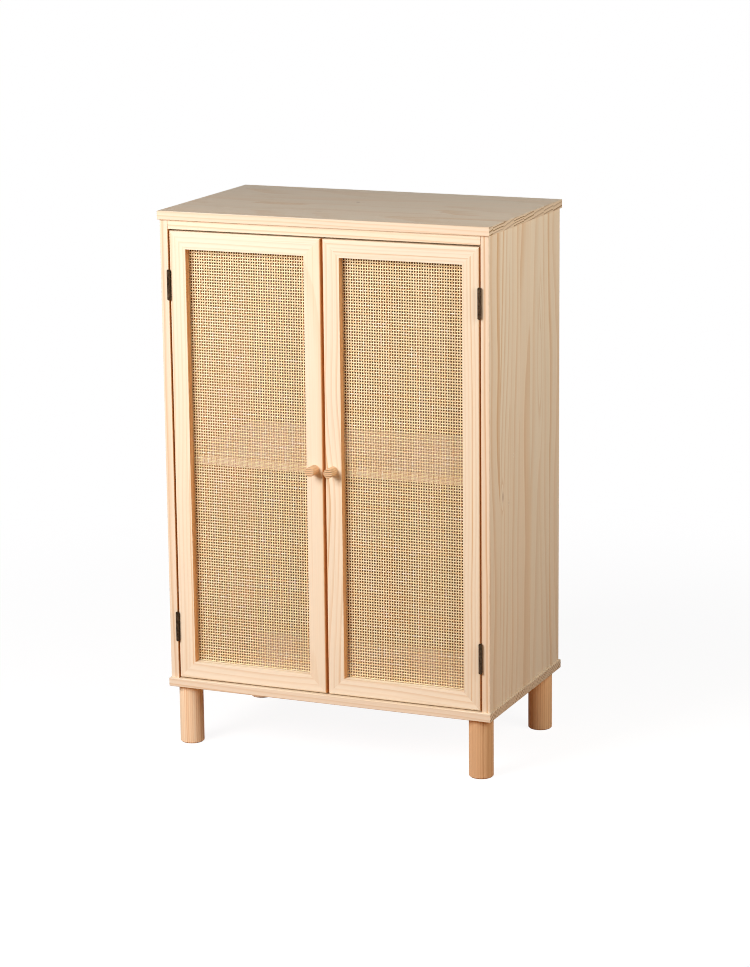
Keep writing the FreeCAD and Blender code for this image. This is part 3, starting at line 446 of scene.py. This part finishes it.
def cane(name, run, step, centre, pitch, seed, looks):
    """Split cane: each strand has its own tone drifting along it, a few brown marks, and painted
    shade at its sides.

    A strand's number is its distance from the middle one in pitches, rounded.
    """
    finish = Finish(name)
    place = finish.place()
    along, across = place[AXES[run]], place[AXES[step]]
    position = (across - centre / MM) / (pitch / MM)
    strand = math.floor(position + 0.5)
    tone, hue, start = finish.chance(strand + seed)
    drift = finish.noise(along * 0.02 + start * 90.0, strand * 7.3, seed, 2.0)
    patch = finish.noise(along * 0.035 + hue * 60.0, strand * 3.9, seed + 9.0, 2.0)
    fleck = finish.noise(along * 0.16, strand * 5.7, seed + 21.0, 1.0)
    fibre = finish.noise(along * 0.25, across * 6.0, strand, 2.0)
    shade = finish.mix(hue * 0.55 + drift * 2.2, looks.cream, looks.gold)
    shade = finish.mix(patch.step(0.02, 0.2) * tone, shade, looks.pale)
    shade = finish.mix(fleck.step(0.25, 0.33) * 0.6, shade, looks.mark)
    # Painted shade: the strand darkens towards its sides
    off = abs(position - strand) / (looks.cover / 2)
    shade = finish.mix(off.step(0.45, 0.9), shade, looks.edge)
    shade = finish.brighten(shade, 0.95 + tone * 0.1 + fibre * 0.25)
    return finish.finished(shade, 0.42 + fibre * 0.2, fibre, relief=0.00006)


def metal(name, base, worn, roughness, grain):
    """Plated metal: two tones in soft patches, with fine mottling in the gloss."""
    finish = Finish(name, Metallic=1.0)
    x, y, z = finish.place()
    patch = finish.noise(x * 0.35, y * 0.35, z * 0.2, 3.0)
    fine = finish.noise(x * grain, y * grain, z * grain, 2.0)
    shade = finish.mix(0.4 + patch * 2.4 + fine * 0.6, base, worn)
    return finish.finished(shade, roughness + patch * 0.25 + fine * 0.15, fine, relief=0.00003)


def hardboard(name, brown):
    """Pressed fibre: short pale and dark fibres in soft clouds, smooth to the touch."""
    finish = Finish(name)
    x, y, z = finish.place()
    cloud = finish.noise(x * 0.02, z * 0.02, y, 3.0)
    mat = finish.noise(x * 0.9, z * 0.9, y * 0.9, 4.0)
    speck = finish.noise(x * 0.7 + mat * 2.0, z * 0.25, y, 1.0)
    dark, light = [[c * share for c in brown] for share in (0.72, 1.45)]
    shade = finish.mix(0.5 + cloud * 1.2 + mat * 0.9 + speck.step(0.2, 0.34) * 0.4, dark, light)
    return finish.finished(shade, 0.5 + mat * 0.3, mat, relief=0.00006)


def moulded(name, base, roughness, grain, relief):
    """Moulded or sintered part: one colour with a fine pebbled skin."""
    finish = Finish(name)
    x, y, z = finish.place()
    fine = finish.noise(x * grain, y * grain, z * grain, 3.0)
    wide = finish.noise(x * 0.12, y * 0.12, z * 0.12, 2.0)
    shade = finish.mix(0.5 + wide, base, [c * 0.9 for c in base])
    return finish.finished(shade, roughness + fine * 0.2, fine, relief)


# Knots: along the grain, across it, half width, length for its width, darkness. Millimetres.
TOP_KNOTS = ((-18.0, 39.0, 3.0, 1.6, 0.85), (-39.0, -83.0, 1.4, 7.0, 0.5))
SIDE_KNOTS = (
    (478.0, -98.0, 3.0, 4.0, 0.6), (462.0, -70.0, 1.2, 2.0, 0.7), (539.0, -46.0, 1.0, 1.5, 0.7),
    (678.0, 84.0, 6.0, 9.0, 0.0),
)

# Boards: node, grain, width of the staves' row, seed, tone, contrast, knots
BOARDS = (
    ("top_panel", "X", "Y", 3, 1.0, 0.45, TOP_KNOTS),
    ("bottom_panel", "X", "Y", 11, 1.0, 0.5, ()),
    ("left_side_panel", "Z", "Y", 5, 1.0, 0.5, ()),
    ("right_side_panel", "Z", "Y", 8, 0.98, 0.75, SIDE_KNOTS),
    ("shelf", "X", "Y", 14, 1.1, 0.5, ()),
)
# Ring spacing and the pith lines' distance to one side, in millimetres. The sides' lines are
# straighter and wider apart.
LEVEL_SAWING = {"spacing": 5.0, "offset": 82.0}
SIDE_SAWING = {"spacing": 7.5, "offset": 95.0}
# Which way along X the sides' inner faces look; those faces take painted shade
INWARD = {"left_side_panel": 1, "right_side_panel": -1}

# Members of the doors, their beads and the top rail: node, grain, width, seed, tone, contrast
MEMBERS = (
    ("top_rail", "X", "Z", 21, 1.02, 0.5),
    ("left_door_top_rail", "X", "Z", 22, 1.03, 0.5),
    ("left_door_bottom_rail", "X", "Z", 23, 1.05, 0.45),
    ("left_door_hinge_stile", "Z", "X", 24, 1.03, 0.55),
    ("left_door_meeting_stile", "Z", "X", 36, 1.03, 0.4),
    ("right_door_top_rail", "X", "Z", 26, 0.99, 0.55),
    ("right_door_bottom_rail", "X", "Z", 27, 1.06, 0.45),
    ("right_door_hinge_stile", "Z", "X", 28, 0.98, 0.6),
    ("right_door_meeting_stile", "Z", "X", 29, 1.01, 0.75),
    ("left_door_beads", "Z", "X", 30, 1.0, 0.4),
    ("right_door_beads", "Z", "X", 31, 1.0, 0.4),
)

# Legs: node, seed, tone, share of the redder wood
LEGS = (
    ("front_left_leg", 51, 1.1, 0.0), ("front_right_leg", 57, 0.9, 0.75),
    ("back_left_leg", 53, 1.0, 0.0), ("back_right_leg", 54, 1.1, 0.75),
)
# Knobs: node, seed
KNOBS = (("left_knob", 61), ("right_knob", 62))
DOWELS = (
    "panel_dowels", "rail_dowels", "shelf_dowels",
    "left_door_mitre_dowels", "right_door_mitre_dowels",
)


def give(node, material):
    """Puts a finish in every material slot of a CAD part."""
    slots = frame["nodes"][node].data.materials
    for index in range(len(slots)):
        slots[index] = material


# Surfaces

# A strand's section, in widths and thicknesses
SECTION = np.array([(-0.5, 0), (-0.34, 0.5), (0.34, 0.5), (0.5, 0), (0.34, -0.5), (-0.34, -0.5)])
FLAT = 0.25  # half the flat of a strand at a crossing, in pitches
STAND_OFF = 0.54  # a strand's distance from the sheet's middle there, in thicknesses
SWAY = 0.09 * MM  # how far a strand bends to either side
STRAY = 0.07 * MM  # how far it lies beside its place
UNEVEN = 0.05  # how much the strands' widths differ, as a share
SWELL = 0.04 / 0.0001  # how much wider a strand gets as it bends: 4% for 0.1 mm
SWELL_LAG = 7  # how many stations further on it does

# The head of a screw, in head radii: its rings, half a slot's width and length, and how much
# further its sides and its ends take to rise
HEAD_RINGS = np.array([0.12, 0.24, 0.34, 0.44, 0.54, 0.64, 0.86, 1.0])
SLOT_WIDTH, SLOT_SIDE = 0.2, 0.08
SLOT_LENGTH, SLOT_END = 0.66, 0.12
SCREW_SIDES = 32
SHARP = math.radians(40)  # edges of a screw that turn by more than this look sharp
# How far the screws' crosses are turned, in radians
TURNS = {"low": 0.4, "high": 1.1, "strike": 0.3, "knob": 0.7, "catch": 0.5}


def corners(node):
    """Lowest and highest corner of a CAD part."""
    return [np.array(corner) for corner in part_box(node)]


def middle(node):
    """Middle of a CAD part's box."""
    low, high = corners(node)
    return (low + high) / 2


def skin(name, rings, ends, material, body, sharp=None):
    """A piece of closed tubes through rings of points, each end a fan of triangles to a pole.

    rings has the shape (tube, station, around, 3) and ends the shape (tube, 2, 3). Point (i, j, k)
    meets (i, j + 1, k) and (i, j, k + 1), and the last point of a ring meets its first.
    """
    tubes, stations, around, _ = rings.shape
    grid = np.arange(tubes * stations * around).reshape(tubes, stations, around)
    beside = np.roll(grid, -1, axis=2)
    quads = np.stack([grid[:, :-1], beside[:, :-1], beside[:, 1:], grid[:, 1:]], -1)
    poles = grid.size + np.arange(tubes * 2).reshape(tubes, 2, 1) + np.zeros((1, 1, around), int)
    first = np.stack([poles[:, 0], beside[:, 0], grid[:, 0]], -1)
    last = np.stack([poles[:, 1], grid[:, -1], beside[:, -1]], -1)
    points = np.concatenate([rings.reshape(-1, 3), ends.reshape(-1, 3)])
    faces = []
    for part in (quads, first, last):
        faces += part.reshape(-1, part.shape[-1]).tolist()
    mesh = bpy.data.meshes.new(name)
    mesh.from_pydata(points.tolist(), [], faces)
    mesh.shade_smooth()
    if sharp:
        mesh.set_sharp_from_angle(angle=sharp)
    mesh.materials.append(material)
    piece = bpy.data.objects.new(name, mesh)
    bpy.context.scene.collection.objects.link(piece)
    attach(piece, body)
    return piece


def strands(run, step, low, high, pitch, other, width, thickness, phase, seed):
    """All the strands that run one way: a six-sided section carried along a stepped wave.

    A strand is flat where it crosses another, a little over half a thickness to one side of the
    sheet's middle, and slopes to the other side in the hole between. The side alternates from
    crossing to crossing and from strand to strand. A slow sine and a fixed stray move it sideways.
    """
    draw = np.random.default_rng(seed)
    count = int((high[step] - low[step]) / pitch)
    crossings = int((high[run] - low[run]) / other)
    centre = (low + high) / 2
    beside = centre[step] + (np.arange(count) - (count - 1) / 2) * pitch
    across = centre[run] + (np.arange(crossings) - (crossings - 1) / 2) * other
    station = np.stack([across - FLAT * other, across + FLAT * other], 1).ravel()
    station[0], station[-1] = low[run], high[run]
    side = (-1.0) ** (np.arange(count)[:, None] + np.arange(crossings)[None, :] + phase)
    height = np.repeat(side, 2, axis=1) * thickness * STAND_OFF
    rate = draw.uniform(0.02, 0.05, (count, 1))
    start = draw.uniform(0, 6.3, (count, 1))
    sway = np.sin(np.arange(station.size) * rate + start) * SWAY
    sway = sway + draw.normal(0, STRAY, (count, 1))
    broad = width * (1 + draw.normal(0, UNEVEN, (count, 1)))
    broad = broad * (1 + SWELL * np.roll(sway, SWELL_LAG, 1))
    rings = np.zeros((count, station.size, len(SECTION), 3))
    rings[..., run] = station[None, :, None]
    rings[..., step] = (beside[:, None] + sway)[..., None] + broad[..., None] * SECTION[:, 0]
    rings[..., 1] = centre[1] + height[..., None] + thickness * SECTION[:, 1]
    ends = np.stack([rings[:, 0].mean(1), rings[:, -1].mean(1)], 1)
    if run == 0:
        rings = rings[:, :, ::-1]
    return rings, ends


def screw(radius, rise, shank, reach, flat):
    """One cross-slotted screw along +Z with its head's top at 0, as rings and two poles.

    The outline runs from the middle of the head over its rim, down the cone or the pan's side, and
    along the shank to the point. The cross is a dip in the head where the distance to either of two
    lines at right angles is small.
    """
    quarter = math.pi / 2
    turn = np.arange(SCREW_SIDES) * 2 * math.pi / SCREW_SIDES
    tops = HEAD_RINGS * radius
    if flat:
        # A thin rim, and the cone below it
        crown = np.zeros(tops.size)
        skirt = [(radius, -0.12 * rise), (shank, -rise)]
    else:
        # A crown that drops by half the head's height, an upright side and a flat underside
        crown = -0.5 * rise * HEAD_RINGS ** 2.5
        skirt = [(radius, -0.55 * rise), (radius, -rise), (shank, -rise)]
    point = [(shank, -reach + 2 * shank), (0.2 * shank, -reach)]
    lower = np.array([*skirt, *point])
    ring_radius = np.concatenate([tops, lower[:, 0]])
    level = np.concatenate([crown, lower[:, 1]])

    outward = ring_radius / radius
    from_line = np.abs(np.sin((turn + quarter / 2) % quarter - quarter / 2))
    slot = np.clip((SLOT_WIDTH - outward[:, None] * from_line) / SLOT_SIDE, 0, 1)
    slot = slot * np.clip((SLOT_LENGTH - outward) / SLOT_END, 0, 1)[:, None]
    slot[tops.size:] = 0
    dip = slot * np.clip(1.1 - outward, 0, 1)[:, None] * rise * 0.9

    rings = np.zeros((1, ring_radius.size, SCREW_SIDES, 3))
    rings[0, ..., 0] = ring_radius[:, None] * np.cos(turn)
    rings[0, ..., 1] = ring_radius[:, None] * np.sin(turn)
    rings[0, ..., 2] = level[:, None] - dip
    ends = np.array([[(0, 0, -rise), (0, 0, -reach)]])
    return rings, ends


def at(shape, place, towards, turn):
    """A shape turned so that its +Z points the given way, and moved to its place."""
    turned = Vector(towards).to_track_quat("Z", "Y").to_matrix() @ Matrix.Rotation(turn, 3, "Z")
    return [part @ np.array(turned).T + np.array(place) for part in shape]


def together(shapes):
    """Several shapes of one kind as one."""
    return [np.concatenate(parts) for parts in zip(*shapes)]


# Operators


class Maker:
    """What every step shares: it needs a scene to work in"""

    bl_options = {"REGISTER"}

    @classmethod
    def poll(cls, context):
        return context.scene is not None


class CABINET_OT_boards(Maker, bpy.types.Operator):
    """Finishes the panels and the shelf in edge-glued pine, and the back in hardboard"""

    bl_idname = "cabinet.boards"
    bl_label = "Finish the boards"

    def execute(self, context):
        looks = context.scene.cabinet_pine
        wood = (looks.early, looks.rosy, looks.late, looks.knot)
        for node, along, across, seed, tone, contrast, knots in BOARDS:
            sawing, painted_shade = LEVEL_SAWING, None
            if node in INWARD:
                sawing = SIDE_SAWING
                # The inner faces take painted shade
                painted_shade = (looks.inner, lambda normal, way=INWARD[node]: normal[0] * way)
            give(node, pine(
                node, along, across, seed, wood, contrast=contrast, tone=tone,
                stave=looks.stave / MM, knots=knots, painted_shade=painted_shade, **sawing,
            ))
        give("back_panel", hardboard("back_panel", looks.hardboard))
        return {"FINISHED"}


class CABINET_OT_frames(Maker, bpy.types.Operator):
    """Finishes the rail, the door members and the beads in solid pine"""

    bl_idname = "cabinet.frames"
    bl_label = "Finish the door frames"

    def execute(self, context):
        looks = context.scene.cabinet_pine
        wood = (looks.frame_early, looks.frame_rosy, looks.late, looks.knot)
        # Faces that look along X, the reveals and the gaps, take painted shade
        for node, along, across, seed, tone, contrast in MEMBERS:
            give(node, pine(
                node, along, across, seed, wood, spacing=5.6, contrast=contrast, tone=tone,
                figure=1.4, painted_shade=(looks.upright_edge_shade, lambda normal: abs(normal[0])),
            ))
        return {"FINISHED"}


class CABINET_OT_turnings(Maker, bpy.types.Operator):
    """Finishes the legs, the knobs and the dowels"""

    bl_idname = "cabinet.turnings"
    bl_label = "Finish legs and knobs"

    def execute(self, context):
        looks = context.scene.cabinet_pine
        for node, seed, tone, red in LEGS:
            early = [
                pale + (rosy - pale) * red for pale, rosy in zip(looks.leg_early, looks.leg_rosy)
            ]
            wood = (early, looks.leg_rosy, looks.leg_late, looks.knot)
            give(node, pine(node, "Z", "X", seed, wood, spacing=3.8, contrast=0.6, tone=tone))
        wood = (looks.knob_early, looks.knob_early, looks.knob_late, looks.knot)
        for node, seed in KNOBS:
            give(node, pine(node, "Y", "X", seed, wood, spacing=2.4, contrast=0.5))
        beech = pine("beech", "X", "Y", 71, wood, spacing=1.5, contrast=0.3)
        for node in DOWELS:
            give(node, beech)
        return {"FINISHED"}


class CABINET_OT_cane(Maker, bpy.types.Operator):
    """Weaves the cane of both doors, upright and level strands as one piece each"""

    bl_idname = "cabinet.cane"
    bl_label = "Weave the cane"

    def execute(self, context):
        looks = context.scene.cabinet_cane
        pitch = {0: looks.warp_pitch, 2: looks.weft_pitch}
        for index, side in enumerate(("left", "right")):
            low, high = corners(f"{side}_door_webbing")
            centre = (low + high) / 2
            # Each way of each door has seeds of its own
            for run, step, kind, phase in ((2, 0, "upright", 0), (0, 2, "level", 1)):
                material = cane(
                    f"{side}_{kind}_cane", "XYZ"[run], "XYZ"[step],
                    centre[step] + self.shift(high[step] - low[step], pitch[step]),
                    pitch[step], 100.0 * index + run, looks,
                )
                rings, ends = strands(
                    run, step, low, high, pitch[step], pitch[run],
                    looks.cover * pitch[step], looks.thickness, phase, 10 * index + run,
                )
                piece = skin(
                    f"{side}_cane_{kind}_strands", rings, ends, material, f"{side}_door"
                )
                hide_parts(f"{side}_door_webbing")
        return {"FINISHED"}

    @staticmethod
    def shift(span, pitch):
        """Half a pitch where the number of strands is even, so that strands are counted right."""
        return 0.0 if int(span / pitch) % 2 else pitch / 2


class CABINET_OT_fittings(Maker, bpy.types.Operator):
    """Finishes the hinges, cams, bolts, catch and plates"""

    bl_idname = "cabinet.fittings"
    bl_label = "Finish the fittings"

    def execute(self, context):
        looks = context.scene.cabinet_fittings
        dull_zinc = [0.8 * part for part in looks.zinc]
        finishes = {
            "hinge_steel": metal(
                "hinge_steel", looks.bronze, looks.worn, roughness=0.36, grain=2.2
            ),
            "zinc_steel": metal("zinc_steel", dull_zinc, looks.zinc, roughness=0.34, grain=1.4),
            "catch_plastic": moulded(
                "catch_plastic", looks.plastic, roughness=0.42, grain=3.0, relief=0.00003
            ),
            "magnet": moulded("magnet", looks.ferrite, roughness=0.6, grain=5.0, relief=0.00004),
        }
        for node, piece in frame["nodes"].items():
            slot = piece.data.materials[0].name.split(".")[0]
            if slot in finishes:
                give(node, finishes[slot])
        return {"FINISHED"}


class CABINET_OT_screws(Maker, bpy.types.Operator):
    """Cuts the cross-slotted screws of the hinges, the catch, the plates and the knobs"""

    bl_idname = "cabinet.screws"
    bl_label = "Cut the screws"

    def execute(self, context):
        looks = context.scene.cabinet_fittings
        frame_screws = []
        for side, hand in (("left", -1), ("right", 1)):
            small, radius, reach = self.countersunk(side, looks.shank / 2)
            low, high = corners(f"{side}_door_leaf_screws")
            y = (low[1] + high[1]) / 2
            seat = hand * max(abs(low[0]), abs(high[0]))
            frame_seat = hand * (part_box("frame_leaf_screws")[1][0] - reach)
            # The lowest screw's distance below the middle of its leaf
            apart = middle(f"{side}_lower_door_leaf")[2] - (low[2] + radius)
            door_screws = []
            for level in ("upper", "lower"):
                z = middle(f"{side}_{level}_door_leaf")[2]
                for height, turn in ((z - apart, TURNS["low"]), (z + apart, TURNS["high"])):
                    door_screws.append(at(small, (seat, y, height), (hand, 0, 0), turn))
                    frame_screws.append(at(small, (frame_seat, y, height), (-hand, 0, 0), turn))
            self.cut(f"{side}_door_leaf_screws", door_screws, f"{side}_door", "hinge_steel")
            self.cut_behind(f"{side}_strike_screw", small, TURNS["strike"], f"{side}_door")
            low, high = corners(f"{side}_knob_screw")
            pan = screw(
                (high[0] - low[0]) / 2, looks.pan, looks.knob_shank / 2, high[1] - low[1], False
            )
            self.cut_behind(f"{side}_knob_screw", pan, TURNS["knob"], f"{side}_door")
        self.cut("frame_leaf_screws", frame_screws, "carcass", "hinge_steel")

        small, radius, _ = self.countersunk("right", looks.shank / 2)
        low, high = corners("catch_screws")
        y = (low[1] + high[1]) / 2
        catch_screws = [
            at(small, (x, y, low[2]), (0, 0, -1), TURNS["catch"])
            for x in (low[0] + radius, high[0] - radius)
        ]
        self.cut("catch_screws", catch_screws, "carcass", "zinc_steel")
        return {"FINISHED"}

    @staticmethod
    def countersunk(side, shank):
        """The small screw that holds a door's hinges, with its head's radius and its length."""
        low, high = corners(f"{side}_door_leaf_screws")
        radius = (high[1] - low[1]) / 2
        reach = high[0] - low[0]
        return screw(radius, radius - shank, shank, reach, True), radius, reach

    def cut_behind(self, node, shape, turn, body):
        """Makes a zinc screw that is driven from behind, with its head at the CAD screw's back."""
        x, _, z = middle(node)
        behind = corners(node)[1][1]
        self.cut(node, [at(shape, (x, behind, z), (0, 1, 0), turn)], body, "zinc_steel")

    @staticmethod
    def cut(node, shapes, body, slot):
        """Makes one piece of the screws that stand for a CAD part, in that part's finish."""
        material = frame["nodes"][node].data.materials[0]
        piece = skin(f"{node}_slotted", *together(shapes), material, body, SHARP)
        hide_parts(node)


class CABINET_OT_stage(Maker, bpy.types.Operator):
    """Lays the floor and sets the lights, the room and the camera"""

    bl_idname = "cabinet.stage"
    bl_label = "Set the studio"

    white = (1.0, 1.0, 1.0, 1.0)
    floor_half = 15.0  # half the floor's side
    floor_grey = (0.16, 0.16, 0.16, 1.0)  # part of the seen floor that takes light and shadow
    floor_glow = 0.92  # what lifts it to white
    floor_fade = (0.7, 1.8)  # distances between which it turns to plain white

    def execute(self, context):
        scene = context.scene
        studio = scene.cabinet_studio
        self.floor(studio)
        self.room(scene, studio)
        self.lamp("key_light", studio.key, studio.key_tint, studio.key_place, studio)
        self.lamp("fill_light", studio.fill, studio.fill_tint, studio.fill_place, studio)
        self.camera(scene, studio)
        scene.view_settings.view_transform = "Standard"
        # The cane's holes are small in a render, so nothing may soften them
        scene.cycles.denoising_prefilter = "NONE"
        scene.cycles.denoising_quality = "BALANCED"
        scene.cycles.filter_width = 1.0
        return {"FINISHED"}

    @staticmethod
    def blank(owner):
        """The empty tree of a new material or world."""
        tree = Tree(owner)
        tree.node_tree.nodes.clear()
        return tree

    @staticmethod
    def seen(tree):
        """1 for rays from the camera, off gloss or through glass, and 0 for light's own paths."""
        path = tree.add("ShaderNodeLightPath").socket.node
        kinds = ("Camera", "Glossy", "Transmission")
        camera, gloss, glass = [Wire(tree, path.outputs[f"Is {kind} Ray"]) for kind in kinds]
        return camera.larger(gloss).larger(glass)

    def floor(self, studio):
        """A flat square, white where it is lit, that keeps a pale shadow."""
        material = bpy.data.materials.new("white_floor")
        tree = self.blank(material)
        matt = tree.add("ShaderNodeBsdfDiffuse", {}, {"Color": (*studio.bounce, 1)})
        grey = tree.add("ShaderNodeBsdfDiffuse", {}, {"Color": self.floor_grey})
        glow = tree.add("ShaderNodeEmission", {}, {"Strength": self.floor_glow})
        near = tree.add("ShaderNodeAddShader", {}, {0: grey, 1: glow})
        point = tree.add("ShaderNodeTexCoord", out="Object")
        away = tree.add("ShaderNodeVectorMath", {"operation": "LENGTH"}, {0: point}, "Value")
        far = tree.add("ShaderNodeEmission")
        fade = away.step(*self.floor_fade)
        shown = tree.add("ShaderNodeMixShader", {}, {0: fade, 1: near, 2: far})
        both = tree.add("ShaderNodeMixShader", {}, {0: self.seen(tree), 1: matt, 2: shown})
        tree.add("ShaderNodeOutputMaterial", {}, {0: both})

        half = self.floor_half
        points = [(-half, -half, 0), (half, -half, 0), (half, half, 0), (-half, half, 0)]
        mesh = bpy.data.meshes.new("floor")
        mesh.from_pydata(points, [], [(0, 1, 2, 3)])
        mesh.materials.append(material)
        piece = bpy.data.objects.new("floor", mesh)
        bpy.context.scene.collection.objects.link(piece)

    def room(self, scene, studio):
        """White where it is seen, and a soft even light for everything else."""
        scene.world = bpy.data.worlds.new("room")
        tree = self.blank(scene.world)
        soft = tree.add(
            "ShaderNodeBackground", {}, {"Color": self.white, "Strength": studio.sky}
        )
        white = tree.add("ShaderNodeBackground", {}, {"Color": self.white})
        both = tree.add("ShaderNodeMixShader", {}, {0: self.seen(tree), 1: soft, 2: white})
        tree.add("ShaderNodeOutputWorld", {}, {0: both})

    @staticmethod
    def lamp(name, watts, tint, place, studio):
        """A square soft box turned to the cabinet, which the camera doesn't see."""
        data = bpy.data.lights.new(name, "AREA")
        data.energy = watts
        data.color = tint
        data.size = studio.soft_box
        light = bpy.data.objects.new(name, data)
        light.location = place
        light.rotation_mode = "QUATERNION"
        light.rotation_quaternion = (studio.aim - place).to_track_quat("-Z", "Y")
        light.visible_camera = False
        bpy.context.scene.collection.objects.link(light)

    @staticmethod
    def camera(scene, studio):
        """The camera's axes from its heading, its dip and its roll."""
        ahead = Vector((
            -math.sin(studio.turn) * math.cos(studio.dip),
            math.cos(studio.turn) * math.cos(studio.dip),
            -math.sin(studio.dip),
        ))
        level = Vector((math.cos(studio.turn), math.sin(studio.turn), 0))
        above = level.cross(ahead)
        right = level * math.cos(studio.roll) + above * math.sin(studio.roll)
        up = above * math.cos(studio.roll) - level * math.sin(studio.roll)
        data = bpy.data.cameras.new("camera")
        data.lens = studio.lens
        camera = bpy.data.objects.new("camera", data)
        axes = Matrix((right, up, -ahead)).transposed()
        camera.matrix_world = Matrix.Translation(studio.stand) @ axes.to_4x4()
        scene.collection.objects.link(camera)
        scene.camera = camera


class CABINET_PT_panel(bpy.types.Panel):
    """The cabinet's sizes, colours and steps"""

    bl_label = "Cane-door cabinet"
    bl_idname = "CABINET_PT_panel"
    bl_space_type = "VIEW_3D"
    bl_region_type = "UI"
    bl_category = "Cabinet"

    def draw(self, context):
        for group in GROUPS:
            box = self.layout.box()
            settings = getattr(context.scene, group)
            for name in settings.bl_rna.properties.keys():
                if name not in {"rna_type", "name"}:
                    box.prop(settings, name)
        for step in STEPS:
            self.layout.operator(step.bl_idname)


GROUPS = {
    "cabinet_pine": PineLooks,
    "cabinet_cane": CaneLooks,
    "cabinet_fittings": FittingLooks,
    "cabinet_studio": Studio,
}
# The fittings come before the screws, which take over their finish
STEPS = (
    CABINET_OT_fittings,
    CABINET_OT_boards,
    CABINET_OT_frames,
    CABINET_OT_turnings,
    CABINET_OT_cane,
    CABINET_OT_screws,
    CABINET_OT_stage,
)
CLASSES = (*GROUPS.values(), *STEPS, CABINET_PT_panel)


def register():
    for made in CLASSES:
        bpy.utils.register_class(made)
    for name, group in GROUPS.items():
        setattr(bpy.types.Scene, name, PointerProperty(type=group))


def unregister():
    for name in GROUPS:
        delattr(bpy.types.Scene, name)
    for made in reversed(CLASSES):
        bpy.utils.unregister_class(made)


def main():
    register()
    for thing in [o for o in bpy.context.scene.objects if o.name in {"Cube", "Light", "Camera"}]:
        bpy.data.objects.remove(thing)
    for step in STEPS:
        prefix, name = step.bl_idname.split(".")
        getattr(getattr(bpy.ops, prefix), name)()


if __name__ == "__main__":
    main()
